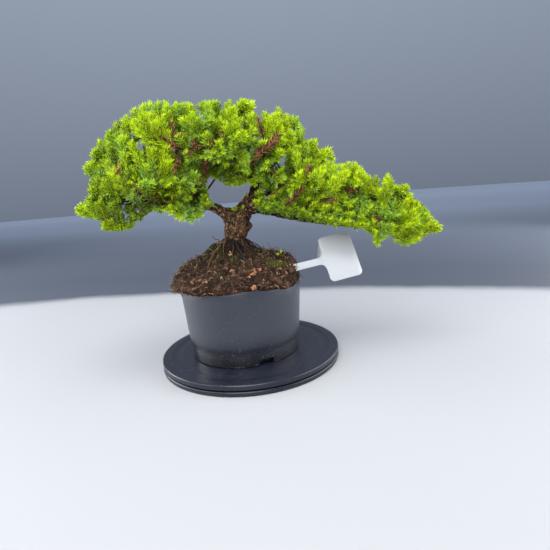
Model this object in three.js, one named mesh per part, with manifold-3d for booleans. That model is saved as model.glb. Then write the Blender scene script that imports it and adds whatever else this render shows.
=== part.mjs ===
// A garden juniper grown as a small bonsai: the tree in its root ball, in a nursery pot that was
// cut down to a low drum, with a plant label pushed into the roots, on a two-disc turntable.
// Millimetres, +Z up, the origin at the middle of the turntable's flat underside, +X to the long
// hanging branch and -Y to the front.

import * as THREE from "three";
import { mergeVertices } from "three/addons/utils/BufferGeometryUtils.js";
import Module from "manifold-3d";

const wasm = await Module();
wasm.setup();

// Clearances
const SEAT_GAP = 0.3;
const HOLE_CLEARANCE = 0.4;

// Turntable: two equal discs, the upper one turning on a boss of the lower
const DISC_RADIUS = 114;
const DISC_EDGE_ROUND = 1.6;
const BASE_DISC_HEIGHT = 5.6;
const DISC_SPLIT = 1.4;
const STACK_HEIGHT = 13.4;
const BOSS_RADIUS = 14;
const BOSS_RISE = 4.1;
const BOSS_CLEARANCE = 0.6;
const OUTER_RING_INSIDE = 101.5;
const PLATFORM_RADIUS = 91;
const GROOVE_DEPTH = 1;
const GROOVE_SLOPE = 1.2;
const DISC_SIDES = 42;

// Pot: a tapered drum with a stacking step near its foot, drain slots and a rim cut by hand
const POT_X = -5.9;
const POT_Y = -3.7;
const POT_BASE = STACK_HEIGHT + SEAT_GAP;
const POT_FOOT_RADIUS = 67.6;
const POT_STEP_RADIUS = 68.6;
const POT_STEP_HEIGHT = 19;
const POT_SHOULDER_RADIUS = 70.4;
const POT_SHOULDER_RISE = 1.8;
const POT_RIM_RADIUS = 75.4;
const POT_RIM_NOMINAL = 102;
const POT_WALL = 1.8;
const POT_FLOOR_RISE = 2.4;
const POT_FLOOR_THICKNESS = 2;
const POT_SIDES = 38;
const POT_RADIUS_SAG = 0.5;
const SLOT_COUNT = 3;
const SLOT_WIDTH = 18;
const SLOT_HEIGHT = 7.4;
const SLOT_DEPTH = 12;
const SLOT_TURN = -70.5;
// Height of the cut rim above the table at angles round the pot, in degrees from +X
const RIM_CUT = [
  [-170, 100.2],
  [-140, 101.2],
  [-112, 102.2],
  [-86, 105.4],
  [-62, 102.6],
  [-42, 98.8],
  [-8, 103.4],
  [30, 105.2],
  [75, 102.4],
  [120, 104.2],
  [160, 101.4],
];

// Root ball: it fills the pot, overhangs the rim a little at the left and rises to the trunk
const SOIL_SHOULDER = 22;
const SOIL_MOUND_HEIGHT = 25;
const SOIL_MOUND_SPREAD = 50;
const SOIL_MOUND_X = -12;
const SOIL_SLOPE = 0.05;
const SOIL_FRONT_FALL = 0.2;
const SOIL_OVERHANG = 10;
const SOIL_OVERHANG_TURN = 187;
const SOIL_ROUGHNESS = 1.3;
const SOIL_SPOKES = 26;

// Trunk, limbs and roots: a line of points with a radius at each
const TRUNK_SIDES = 12;
const LIMB_SIDES = 7;
const ROOT_SIDES = 5;
const BARK_RELIEF = 0.07;
const TRUNK = [
  [-9, -1, 112, 10],
  [-9, -1, 136, 12],
  [-9, -1, 148, 11.5],
  [-8, -0.5, 158, 12],
  [-5, 0, 168, 14.5],
  [-2, 0, 178, 16],
  [4, 0, 187, 13],
  [11, 1, 195.5, 10.5],
  [17.5, 2, 203.5, 8.4],
  [21.5, 3, 212, 6.4],
  [24, 4, 224, 5.2],
];
const BURL = { at: [5.5, -4, 170.5], radius: 9.5, hollow: [11.6, -11.2, 173.4], hollowRadius: 2.6 };
const LIMBS = {
  left: [
    [-6, 0, 180, 11],
    [-17, -1, 189, 7.6],
    [-30, -2, 195.5, 5.6],
    [-44, -4, 200, 4.4],
    [-72, -7, 208, 3.5],
    [-105, -9, 214, 2.7],
    [-138, -10, 212, 2],
    [-166, -11, 207, 1.3],
  ],
  left_front: [
    [-48, -5, 201, 3.2],
    [-66, -24, 203, 2.4],
    [-86, -42, 206, 1.8],
    [-104, -54, 212, 1.2],
  ],
  left_back: [
    [-54, -5, 203, 3],
    [-78, 16, 212, 2.4],
    [-106, 34, 222, 1.8],
    [-130, 44, 232, 1.2],
  ],
  left_rise: [
    [-76, -7, 209, 2.6],
    [-96, -4, 228, 2.1],
    [-118, -2, 248, 1.7],
    [-134, 0, 264, 1.2],
  ],
  left_low: [
    [-88, -8, 211, 1.8],
    [-108, -16, 196, 1.5],
    [-128, -19, 187, 1.2],
  ],
  dome_left: [
    [23.5, 4, 220, 4],
    [6, 0, 238, 3.4],
    [-22, -4, 253, 2.9],
    [-54, -6, 268, 2.4],
    [-82, -6, 283, 1.8],
    [-104, -4, 294, 1.2],
  ],
  dome_back: [
    [24, 4, 222, 3.4],
    [4, 24, 244, 2.8],
    [-30, 40, 258, 2.2],
    [-66, 48, 268, 1.3],
  ],
  dome_front: [
    [14, 1, 230, 3],
    [-2, -22, 244, 2.2],
    [-30, -42, 256, 1.8],
    [-60, -50, 264, 1.2],
  ],
  dome_top: [
    [23, 4, 226, 4],
    [16, 3, 250, 3],
    [0, 4, 274, 2.2],
    [-10, 6, 294, 1.3],
  ],
  right_top: [
    [23.5, 4, 222, 4.2],
    [36, 2, 241, 3.2],
    [50, 0, 261, 2.4],
    [61, 0, 282, 1.3],
  ],
  right_back: [
    [34, 3, 238, 2.4],
    [44, 24, 252, 1.9],
    [48, 42, 266, 1.2],
  ],
  right_front: [
    [30, 0, 232, 2.4],
    [34, -20, 246, 1.9],
    [36, -38, 258, 1.2],
  ],
  shoulder: [
    [20, 2, 206, 3.6],
    [42, -2, 210, 3],
    [66, -4, 219, 2.4],
    [86, -4, 232, 1.9],
    [98, -3, 248, 1.2],
  ],
  right: [
    [8, 0, 190, 8],
    [24, -2, 191, 6],
    [36, -3, 186.5, 5],
    [70, -5, 176.5, 4],
    [106, -6, 168, 3.3],
    [134, -6, 162.5, 2.8],
    [168, -6, 156, 2.2],
    [204, -5, 151, 1.6],
    [232, -4, 150, 1.2],
  ],
  right_low_front: [
    [56, -5, 180, 2.8],
    [78, -24, 188, 2.2],
    [98, -36, 198, 1.2],
  ],
  right_low_back: [
    [70, -5, 177, 2.8],
    [92, 18, 188, 2.2],
    [114, 34, 200, 1.2],
  ],
  tail_rise: [
    [108, -6, 168, 2.6],
    [122, -6, 188, 2],
    [132, -6, 208, 1.2],
  ],
  tail_front: [
    [140, -6, 161.5, 2.2],
    [158, -22, 172, 1.7],
    [174, -30, 184, 1.1],
  ],
  tail_back: [
    [150, -6, 160, 2.2],
    [170, 12, 172, 1.7],
    [188, 22, 186, 1.1],
  ],
};
const ROOTS = {
  arch_left: [
    [-14, -6, 150, 3],
    [-26, -12, 155, 2],
    [-37, -17, 150, 1.7],
    [-44, -22, 134, 1.3],
    [-47, -24, 122, 1],
  ],
  arch_right: [
    [0, -8, 150, 2.8],
    [9, -14, 144, 1.9],
    [16, -18, 134, 1.6],
    [20, -21, 120, 1.3],
  ],
  flare_front: [
    [-10, -8, 146, 4.6],
    [-12, -17, 137, 3],
    [-14, -26, 124, 2],
  ],
  flare_back: [
    [-8, 8, 146, 5],
    [-6, 18, 137, 3.2],
    [-4, 28, 124, 2],
  ],
  flare_left: [
    [-16, 2, 146, 4.4],
    [-27, 6, 138, 2.8],
    [-38, 10, 122, 1.8],
  ],
  flare_right: [
    [-1, 2, 146, 4.4],
    [10, 6, 139, 2.8],
    [22, 10, 124, 1.8],
  ],
};

// Plant label: a T-shaped plate whose stake lies nearly level in the side of the root ball
const LABEL_HEAD_LENGTH = 59;
const LABEL_HEAD_WIDTH = 47;
const LABEL_CORNER = 6;
const LABEL_STAKE_WIDTH = 9;
const LABEL_STAKE_LENGTH = 55;
const LABEL_THICKNESS = 1;
const LABEL_NECK = 9;
const LABEL_CENTRE = new THREE.Vector3(124, -4, 122.4);
const LABEL_ALONG = new THREE.Vector3(48, 14, 4.6).normalize();
const LABEL_UP = new THREE.Vector3(-10, 22, 53);

// Crown: at each place along X the height of its underside and top, and its depth to the front
// and the back
const CROWN = [
  [-194, 200, 207, 6, 4],
  [-180, 200, 226, 20, 22],
  [-168, 201, 256, 34, 36],
  [-150, 202, 290, 50, 50],
  [-122, 203, 309, 66, 62],
  [-92, 206, 322, 76, 70],
  [-58, 204, 321, 80, 74],
  [-36, 232, 320, 80, 76],
  [0, 236, 321, 78, 76],
  [28, 232, 317, 72, 72],
  [58, 226, 308, 66, 68],
  [82, 200, 284, 60, 64],
  [104, 176, 268, 54, 58],
  [124, 168, 246, 50, 52],
  [150, 162, 238, 46, 46],
  [180, 150, 222, 42, 40],
  [206, 142, 207, 36, 34],
  [228, 142, 186, 26, 26],
  [246, 144, 164, 15, 15],
  [262, 145, 149, 4, 4],
];
const SLICE_STEP = 38;
const RING_STEP = 48;
const RING_START = -24;
const RING_END = 204;
// Sprays placed by hand: the low one that hangs at the left, and those at the crown's two tips
const SINGLE_SPRAYS = [
  [-166, -24, 184],
  [-192, -9, 204],
  [260, -4, 147],
  [176, -22, 136],
  [208, -14, 130],
];

// Sprays: a thin stem with needled shoots; the needles stand in threes, each three turned a
// sixth of a turn from the last
const SEED = 11;
const DRAW_PRIME = 668265263;
const SEAT_STEP = 9;
const STEM_RADIUS = 1;
const STEM_STEP = 12;
const HEEL_RADIUS = 0.6;
const SPRAY_SHORTEST = 20;
const SHOOT_CORE = 0.95;
const NEEDLE_OUT = 5.8;
const NEEDLE_FORWARD = 4.2;
const WHORL_STEP = 5.6;
const SIDE_SHOOTS = 12;
const SHOWN_SHOOTS = [1, 6];
const END_SHOOT_LENGTH = 30;
const SIDE_LENGTH = 27;
const SIDE_ROOT = 5;
const SHOOT_TURN = THREE.MathUtils.degToRad(137.5);
const SHOOT_OPEN = THREE.MathUtils.degToRad(46);

// A repeatable draw between 0 and 1 for three whole numbers
function draw(a, b, c) {
  let bits = SEED;
  [a, b, c].forEach((value) => {
    bits = Math.imul(bits ^ (value + 1), DRAW_PRIME);
    bits ^= bits >>> 13;
  });
  bits = Math.imul(bits, DRAW_PRIME);
  return ((bits ^ (bits >>> 16)) >>> 0) / 2 ** 32;
}

const vec = (x, y, z) => new THREE.Vector3(x, y, z);
const mix = THREE.MathUtils.lerp;
const degrees = THREE.MathUtils.degToRad;

// A closed geometry as a solid
function solidOf(geometry) {
  const bare = geometry.clone();
  bare.deleteAttribute("normal");
  bare.deleteAttribute("uv");
  const merged = mergeVertices(bare, 1e-4);
  return new wasm.Manifold(
    new wasm.Mesh({
      numProp: 3,
      vertProperties: new Float32Array(merged.attributes.position.array),
      triVerts: new Uint32Array(merged.index.array),
    }),
  );
}

// A solid as a geometry
function geometryOf(solid) {
  const mesh = solid.getMesh();
  const positions = new Float32Array(mesh.numVert * 3);
  for (let i = 0; i < mesh.numVert; i++) {
    for (let k = 0; k < 3; k++) positions[3 * i + k] = mesh.vertProperties[mesh.numProp * i + k];
  }
  const geometry = new THREE.BufferGeometry();
  geometry.setAttribute("position", new THREE.BufferAttribute(positions, 3));
  geometry.setIndex(new THREE.BufferAttribute(new Uint32Array(mesh.triVerts), 1));
  geometry.computeVertexNormals();
  return geometry;
}

// Rings of vertices, each with the same count, joined into a closed skin with a fan at each end
function skinOf(rings, startPoint, endPoint) {
  const sides = rings[0].length;
  const positions = [];
  const faces = [];
  rings.forEach((ring) => ring.forEach((p) => positions.push(p.x, p.y, p.z)));
  const first = rings.length * sides;
  positions.push(startPoint.x, startPoint.y, startPoint.z, endPoint.x, endPoint.y, endPoint.z);
  for (let r = 0; r + 1 < rings.length; r++) {
    for (let s = 0; s < sides; s++) {
      const a = r * sides + s;
      const b = r * sides + ((s + 1) % sides);
      const c = a + sides;
      const d = b + sides;
      // Where the rings are needled, the fold runs along the valleys between the needles
      if ((r + s) % 2 === 0) faces.push(a, b, c, b, d, c);
      else faces.push(a, b, d, a, d, c);
    }
  }
  const top = (rings.length - 1) * sides;
  for (let s = 0; s < sides; s++) {
    const next = (s + 1) % sides;
    faces.push(first, next, s, first + 1, top + s, top + next);
  }
  const geometry = new THREE.BufferGeometry();
  geometry.setAttribute("position", new THREE.Float32BufferAttribute(positions, 3));
  geometry.setIndex(faces);
  return geometry;
}

// A direction square to a given one
function acrossOf(direction) {
  return vec(direction.z, direction.x, direction.y).cross(direction).normalize();
}

// Points round a centre in the plane of two axes
function ringOf(centre, across, up, sides, radiusAt, turn = 0) {
  return Array.from({ length: sides }, (_, s) => {
    const angle = turn + (2 * Math.PI * s) / sides;
    const radius = radiusAt(s, angle);
    return centre
      .clone()
      .addScaledVector(across, radius * Math.cos(angle))
      .addScaledVector(up, radius * Math.sin(angle));
  });
}

// A tapering woody tube along points that each hold x, y, z and a radius
function taperedTube(points, sides, extra = 0, relief = 0) {
  const line = new THREE.CatmullRomCurve3(
    points.map(([x, y, z]) => vec(x, y, z)),
    false,
    "catmullrom",
  );
  let across = null;
  const rings = points.map(([x, y, z, radius], i) => {
    const tangent = line.getTangent(i / (points.length - 1));
    if (!across) across = acrossOf(tangent);
    across.addScaledVector(tangent, -across.dot(tangent)).normalize();
    const up = tangent.clone().cross(across);
    const wave = (s) => 1 + relief * (Math.sin(2.4 * s + 1.7 * i) + Math.cos(4.1 * s - 0.8 * i));
    return ringOf(vec(x, y, z), across, up, sides, (s) => radius * wave(s) + extra);
  });
  const tipRadius = points[points.length - 1][3];
  const start = line.getPoint(0).addScaledVector(line.getTangent(0), -extra);
  const end = line.getPoint(1).addScaledVector(line.getTangent(1), 0.5 * tipRadius + extra);
  return solidOf(skinOf(rings, start, end));
}

// A solid of revolution about +Z from a profile of radius and height, from the axis to the axis
function latheSolid(profile, sides) {
  const geometry = new THREE.LatheGeometry(
    profile.map(([radius, z]) => new THREE.Vector2(radius, z)),
    sides,
  );
  geometry.rotateX(Math.PI / 2);
  return solidOf(geometry);
}

// Turntable
function discEdge(bottom, top) {
  return [
    [DISC_RADIUS - DISC_EDGE_ROUND, bottom],
    [DISC_RADIUS, bottom + DISC_EDGE_ROUND],
    [DISC_RADIUS, top - DISC_EDGE_ROUND],
    [DISC_RADIUS - DISC_EDGE_ROUND, top],
  ];
}

function turntableBase() {
  return latheSolid(
    [
      [0, 0],
      ...discEdge(0, BASE_DISC_HEIGHT),
      [BOSS_RADIUS, BASE_DISC_HEIGHT],
      [BOSS_RADIUS, BASE_DISC_HEIGHT + BOSS_RISE],
      [0, BASE_DISC_HEIGHT + BOSS_RISE],
    ],
    DISC_SIDES,
  );
}

function turntableTop() {
  const bottom = BASE_DISC_HEIGHT + DISC_SPLIT;
  const socket = BOSS_RADIUS + BOSS_CLEARANCE;
  const ceiling = BASE_DISC_HEIGHT + BOSS_RISE + SEAT_GAP;
  return latheSolid(
    [
      [0, ceiling],
      [socket, ceiling],
      [socket, bottom],
      ...discEdge(bottom, STACK_HEIGHT),
      [OUTER_RING_INSIDE, STACK_HEIGHT],
      [OUTER_RING_INSIDE - GROOVE_SLOPE, STACK_HEIGHT - GROOVE_DEPTH],
      [PLATFORM_RADIUS + GROOVE_SLOPE, STACK_HEIGHT - GROOVE_DEPTH],
      [PLATFORM_RADIUS, STACK_HEIGHT],
      [0, STACK_HEIGHT],
    ],
    DISC_SIDES,
  );
}

// Pot
function rimHeight(angle) {
  const turn = THREE.MathUtils.euclideanModulo(THREE.MathUtils.radToDeg(angle) + 170, 360) - 170;
  const count = RIM_CUT.length;
  let i = count - 1;
  while (i > 0 && RIM_CUT[i][0] > turn) i--;
  const [startAngle, startHeight] = RIM_CUT[i];
  const [endAngle, endHeight] = RIM_CUT[(i + 1) % count];
  const span = THREE.MathUtils.euclideanModulo(endAngle - startAngle, 360);
  const part = (turn - startAngle) / span;
  return mix(startHeight, endHeight, 0.5 - 0.5 * Math.cos(Math.PI * part));
}

function potRadius(z) {
  const low = POT_BASE + POT_STEP_HEIGHT + POT_SHOULDER_RISE;
  return mix(POT_SHOULDER_RADIUS, POT_RIM_RADIUS, (z - low) / (POT_RIM_NOMINAL - low));
}

function potRing(radiusAt, heightAt) {
  return Array.from({ length: POT_SIDES }, (_, s) => {
    const angle = (2 * Math.PI * s) / POT_SIDES;
    const z = heightAt(angle);
    const r = radiusAt(z);
    return vec(POT_X + r * Math.cos(angle), POT_Y + r * Math.sin(angle), z);
  });
}

function pot() {
  const stepTop = POT_BASE + POT_STEP_HEIGHT;
  const shoulder = stepTop + POT_SHOULDER_RISE;
  const floorTop = POT_BASE + POT_FLOOR_RISE + POT_FLOOR_THICKNESS;
  const underside = POT_BASE + POT_FLOOR_RISE;
  const footInside = POT_FOOT_RADIUS - POT_WALL;
  const rings = [
    potRing(() => footInside, () => underside),
    potRing(() => footInside, () => POT_BASE),
    potRing(() => POT_FOOT_RADIUS, () => POT_BASE),
    potRing(() => POT_STEP_RADIUS, () => stepTop),
    potRing(() => POT_SHOULDER_RADIUS, () => shoulder),
    potRing(potRadius, rimHeight),
    potRing((z) => potRadius(z) - POT_WALL, rimHeight),
    potRing(() => POT_SHOULDER_RADIUS - POT_WALL, () => shoulder),
    potRing(() => POT_STEP_RADIUS - POT_WALL, () => stepTop),
    potRing(() => footInside, () => floorTop),
  ];
  const start = vec(POT_X, POT_Y, underside);
  const end = vec(POT_X, POT_Y, floorTop);
  let solid = solidOf(skinOf(rings, start, end));
  for (let i = 0; i < SLOT_COUNT; i++) {
    const slot = new THREE.BoxGeometry(SLOT_DEPTH, SLOT_WIDTH, 2 * SLOT_HEIGHT);
    slot.translate(POT_FOOT_RADIUS, 0, 0);
    slot.rotateZ(degrees(SLOT_TURN + (360 * i) / SLOT_COUNT));
    slot.translate(POT_X, POT_Y, POT_BASE);
    solid = solid.subtract(solidOf(slot));
  }
  return solid;
}

// Root ball: the height of its top over a point, measured from the pot's axis
function soilHeight(x, y) {
  const fromTop = Math.hypot(x - SOIL_MOUND_X, y);
  const mound = SOIL_MOUND_HEIGHT * Math.exp(-((fromTop / SOIL_MOUND_SPREAD) ** 2));
  const clods = Math.sin(0.31 * x + 1.3) * Math.cos(0.27 * y - 0.4) + 0.6 * Math.sin(0.53 * y + 0.2 * x);
  const slope = SOIL_SLOPE * x + SOIL_FRONT_FALL * Math.min(0, y);
  return POT_RIM_NOMINAL + SOIL_SHOULDER + mound + slope + SOIL_ROUGHNESS * clods;
}

function soilRing(radiusAt, heightAt) {
  return Array.from({ length: SOIL_SPOKES }, (_, s) => {
    const angle = (2 * Math.PI * s) / SOIL_SPOKES;
    const r = radiusAt(angle, s);
    const x = r * Math.cos(angle);
    const y = r * Math.sin(angle);
    return vec(POT_X + x, POT_Y + y, heightAt(x, y, angle));
  });
}

function rootBall(holes) {
  const inside = POT_WALL + SEAT_GAP + POT_RADIUS_SAG;
  const stepTop = POT_BASE + POT_STEP_HEIGHT;
  const shoulder = stepTop + POT_SHOULDER_RISE;
  const floorTop = POT_BASE + POT_FLOOR_RISE + POT_FLOOR_THICKNESS + SEAT_GAP;
  const footRadius = POT_FOOT_RADIUS - inside;
  const overhang = (angle) => {
    const turn = Math.cos(angle - degrees(SOIL_OVERHANG_TURN));
    return SOIL_OVERHANG * Math.max(0, turn) ** 3;
  };
  const neck = POT_RIM_RADIUS - inside - 0.4;
  const lump = (s) => 1.2 * Math.sin(2.3 * s) + 0.9 * Math.cos(3.7 * s);
  const rim = (gap) => (x, y, angle) => rimHeight(angle) + gap;
  const sideHeight = (x, y, angle) => mix(rimHeight(angle), soilHeight(x, y), 0.6);
  const topRadius = (angle) => neck - 3 + 0.7 * overhang(angle);
  const rings = [
    soilRing(() => footRadius, () => floorTop),
    soilRing(() => POT_STEP_RADIUS - inside, () => stepTop - 1),
    soilRing(() => POT_SHOULDER_RADIUS - inside, () => shoulder + 1),
    soilRing(() => neck - 0.6, rim(-6)),
    soilRing(() => neck, rim(0.8)),
    soilRing((angle, s) => neck + overhang(angle) + 0.4 * lump(s), rim(2.2)),
    soilRing((angle, s) => neck - 1 + overhang(angle) + lump(s), sideHeight),
    soilRing((angle, s) => 0.93 * topRadius(angle) + 0.5 * lump(s), soilHeight),
    ...[0.74, 0.52, 0.3].map((part) => soilRing((angle) => part * topRadius(angle), soilHeight)),
  ];
  const start = vec(POT_X, POT_Y, floorTop);
  const end = vec(POT_X, POT_Y, soilHeight(0, 0));
  let solid = solidOf(skinOf(rings, start, end));
  holes.forEach((hole) => {
    solid = solid.subtract(hole);
  });
  return largestBody(solid);
}

// The biggest of a solid's bodies, so that no loose scrap is left
function largestBody(solid) {
  return solid.decompose().sort((a, b) => b.volume() - a.volume())[0];
}

// Trunk, limbs and roots
function treeTubes(extra) {
  const trunk = taperedTube(TRUNK, TRUNK_SIDES, extra, BARK_RELIEF);
  const roots = Object.values(ROOTS).map((points) => taperedTube(points, ROOT_SIDES, extra));
  return { trunk, roots };
}

function tree() {
  const { trunk, roots } = treeTubes(0);
  const burl = new THREE.IcosahedronGeometry(BURL.radius, 1);
  burl.translate(...BURL.at);
  const hollow = new THREE.IcosahedronGeometry(BURL.hollowRadius, 0);
  hollow.translate(...BURL.hollow);
  let wood = trunk.add(solidOf(burl)).subtract(solidOf(hollow));
  roots.forEach((root) => {
    wood = wood.add(root);
  });
  Object.values(LIMBS).forEach((points) => {
    const sides = points[0][3] > 5 ? LIMB_SIDES + 2 : LIMB_SIDES - 1;
    wood = wood.add(taperedTube(points, sides, 0, BARK_RELIEF));
  });
  return largestBody(wood);
}

function treeHoles() {
  const { trunk, roots } = treeTubes(HOLE_CLEARANCE);
  return [trunk, ...roots];
}

// Plant label
function labelSolid(extra) {
  const half = LABEL_HEAD_LENGTH / 2;
  const left = -LABEL_HEAD_WIDTH / 2;
  const right = LABEL_HEAD_WIDTH / 2;
  const stake = LABEL_STAKE_WIDTH / 2 + extra;
  const outline = new THREE.Shape();
  outline.moveTo(left - LABEL_STAKE_LENGTH - extra, 0);
  outline.lineTo(left - LABEL_STAKE_LENGTH + LABEL_STAKE_WIDTH, -stake);
  outline.lineTo(left - LABEL_NECK, -stake);
  outline.quadraticCurveTo(left, -stake, left, -LABEL_NECK - stake);
  outline.lineTo(left, -half + LABEL_CORNER);
  outline.absarc(left + LABEL_CORNER, -half + LABEL_CORNER, LABEL_CORNER, Math.PI, 1.5 * Math.PI);
  outline.absarc(right - LABEL_CORNER, -half + LABEL_CORNER, LABEL_CORNER, 1.5 * Math.PI, 2 * Math.PI);
  outline.absarc(right - LABEL_CORNER, half - LABEL_CORNER, LABEL_CORNER, 0, 0.5 * Math.PI);
  outline.absarc(left + LABEL_CORNER, half - LABEL_CORNER, LABEL_CORNER, 0.5 * Math.PI, Math.PI);
  outline.lineTo(left, LABEL_NECK + stake);
  outline.quadraticCurveTo(left, stake, left - LABEL_NECK, stake);
  outline.lineTo(left - LABEL_STAKE_LENGTH + LABEL_STAKE_WIDTH, stake);
  const depth = LABEL_THICKNESS + 2 * extra;
  const plate = new THREE.ExtrudeGeometry(outline, { depth, bevelEnabled: false, curveSegments: 3 });
  plate.translate(0, 0, -depth / 2);
  const face = LABEL_ALONG.clone().cross(LABEL_UP).normalize();
  const turn = new THREE.Matrix4().makeBasis(LABEL_ALONG, face.clone().cross(LABEL_ALONG), face);
  plate.applyMatrix4(turn.setPosition(LABEL_CENTRE));
  return solidOf(plate);
}

// Crown: the section at a place along X
function crownAt(x) {
  let i = 0;
  while (i < CROWN.length - 2 && CROWN[i + 1][0] < x) i++;
  const part = THREE.MathUtils.clamp((x - CROWN[i][0]) / (CROWN[i + 1][0] - CROWN[i][0]), 0, 1);
  const [bottom, top, front, back] = [1, 2, 3, 4].map((k) => mix(CROWN[i][k], CROWN[i + 1][k], part));
  return { bottom, top, front, back };
}

// A point of the crown's skin, at an angle from the front over the top to the back
function crownPoint(x, angle) {
  const { bottom, top, front, back } = crownAt(x);
  const middle = mix(bottom, top, 0.3);
  const depth = Math.cos(angle) > 0 ? front : back;
  const rise = Math.sin(angle) > 0 ? top - middle : middle - bottom;
  return vec(x, -depth * Math.cos(angle), middle + rise * Math.sin(angle));
}

// Where the sprays end: rings of points round the crown, in slices along X, then the single ones
function sprayTips() {
  const tips = [];
  const first = CROWN[0][0] + 22;
  const last = CROWN[CROWN.length - 1][0] - 20;
  const slices = Math.round((last - first) / SLICE_STEP);
  for (let i = 0; i <= slices; i++) {
    const x = mix(first, last, i / slices);
    const start = crownPoint(x, degrees(RING_START));
    const over = crownPoint(x, degrees(90));
    const end = crownPoint(x, degrees(RING_END));
    const around = 1.15 * (start.distanceTo(over) + over.distanceTo(end));
    const count = Math.max(2, Math.round(around / RING_STEP));
    for (let k = 0; k < count; k++) {
      const part = (k + (i % 2 ? 0.72 : 0.28) + 0.2 * (draw(i, k, 1) - 0.5)) / count;
      const nudge = 12 * (draw(i, k, 2) - 0.5);
      tips.push(crownPoint(x + nudge, degrees(mix(RING_START, RING_END, part))));
    }
  }
  SINGLE_SPRAYS.forEach(([x, y, z]) => tips.push(vec(x, y, z)));
  return tips;
}

// Places on the limbs where a spray may leave, with the limb's direction and radius there
function limbSeats() {
  const seats = [];
  Object.values(LIMBS).forEach((points) => {
    points.slice(1).forEach(([x, y, z, radius], i) => {
      const from = vec(points[i][0], points[i][1], points[i][2]);
      const to = vec(x, y, z);
      const along = to.clone().sub(from).normalize();
      const steps = Math.max(1, Math.round(from.distanceTo(to) / SEAT_STEP));
      for (let k = 1; k <= steps; k++) {
        const part = k / steps;
        const end = i === points.length - 2 && k === steps;
        const at = from.clone().lerp(to, part);
        seats.push({ at, along, radius: mix(points[i][3], radius, part), end, taken: 0 });
      }
    });
  });
  return seats;
}

// Each spray's stem, from its seat on a limb to its tip on the crown's skin
function sprayLayout() {
  const seats = limbSeats();
  const tips = sprayTips();
  const order = tips.map((tip, i) => ({ tip, i }));
  order.sort((a, b) => Math.abs(b.tip.x) - Math.abs(a.tip.x));
  const sprays = [];
  order.forEach(({ tip, i }) => {
    let best = null;
    let bestCost = Infinity;
    seats.forEach((seat) => {
      const reach = tip.clone().sub(seat.at);
      const length = reach.length();
      const lean = reach.dot(seat.along) / length;
      const short = Math.max(0, SPRAY_SHORTEST - length);
      const backward = Math.max(0, 0.1 - lean);
      const cost = length + 3 * short + 55 * backward + 26 * seat.taken - (seat.end ? 6 : 0);
      if (cost < bestCost) {
        bestCost = cost;
        best = seat;
      }
    });
    seats.forEach((seat) => {
      if (seat.at.distanceTo(best.at) < 9) seat.taken += 1;
    });
    sprays.push({ index: i, seat: best, tip });
  });
  return sprays.sort((a, b) => a.index - b.index);
}

// A spray's stem as a curve that leaves the limb along its direction and bends to the tip
function stemCurve(seat, tip, swing) {
  const reach = tip.clone().sub(seat.at);
  const length = reach.length();
  const leave = reach.clone().divideScalar(length).addScaledVector(seat.along, 0.7);
  leave.add(swing).normalize();
  const offset = seat.end ? seat.radius * 0.5 + SEAT_GAP + 0.1 : seat.radius * 1.12 + SEAT_GAP + 0.25;
  const start = seat.at.clone().addScaledVector(seat.end ? seat.along : leave, offset);
  const bend = start.clone().addScaledVector(leave, 0.42 * length);
  return new THREE.QuadraticBezierCurve3(start, bend, tip);
}

// A shoot as one skin along a curve: a bare stem as far as the needles begin, then the needles
function shootSolid(curve, bare, spin) {
  const length = curve.getLength();
  const whorls = Math.max(3, Math.round((length - bare) / WHORL_STEP));
  const stemSteps = Math.max(1, Math.round(bare / STEM_STEP));
  const places = [];
  for (let i = 0; i < stemSteps; i++) places.push((i * bare) / stemSteps / length);
  for (let i = 0; i < whorls; i++) places.push(mix(bare / length, 1, i / (whorls - 0.4)));
  const rings = [];
  let across = null;
  places.forEach((t, i) => {
    const tangent = curve.getTangent(t);
    if (!across) across = acrossOf(tangent);
    across.addScaledVector(tangent, -across.dot(tangent)).normalize();
    const up = tangent.clone().cross(across);
    const close = THREE.MathUtils.smoothstep(t, 0.6, 1);
    const out = NEEDLE_OUT * mix(1, 0.62, close);
    const forward = NEEDLE_FORWARD * mix(1, 1.15, close);
    const core = i === 0 ? HEEL_RADIUS : mix(STEM_RADIUS, SHOOT_CORE, t);
    const needled = (s) => i >= stemSteps && (i + s) % 2 === 0;
    const ring = ringOf(curve.getPoint(t), across, up, 6, (s) => (needled(s) ? out : core), spin);
    ring.forEach((p, s) => {
      if (needled(s)) p.addScaledVector(tangent, forward);
    });
    rings.push(ring);
  });
  const end = curve.getPoint(1).addScaledVector(curve.getTangent(1), 1.2);
  return solidOf(skinOf(rings, curve.getPoint(0), end));
}

// A side shoot's curve: out of the stem at an opening angle and bending up
function sideCurve(stem, place, azimuth, length) {
  const start = stem.getPoint(place);
  const tangent = stem.getTangent(place);
  const across = acrossOf(tangent);
  const up = tangent.clone().cross(across);
  const outward = across.multiplyScalar(Math.cos(azimuth)).addScaledVector(up, Math.sin(azimuth));
  const leave = tangent.clone().multiplyScalar(Math.cos(SHOOT_OPEN));
  leave.addScaledVector(outward, Math.sin(SHOOT_OPEN));
  const bend = start.clone().addScaledVector(leave, 0.5 * length);
  const finish = leave.clone().multiplyScalar(0.8).addScaledVector(tangent, 0.2);
  finish.z += 0.3;
  const tip = start.clone().addScaledVector(finish.normalize(), length);
  return new THREE.QuadraticBezierCurve3(start, bend, tip);
}

function boxesMeet(a, b) {
  return [0, 1, 2].every((k) => a.min[k] - SEAT_GAP < b.max[k] && b.min[k] - SEAT_GAP < a.max[k]);
}

// Whether a solid keeps its gap to every solid of a list
function isClear(solid, others) {
  const box = solid.boundingBox();
  return others.every((other) => {
    return !boxesMeet(box, other.box) || solid.minGap(other.solid, SEAT_GAP) > 0.9 * SEAT_GAP;
  });
}

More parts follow.
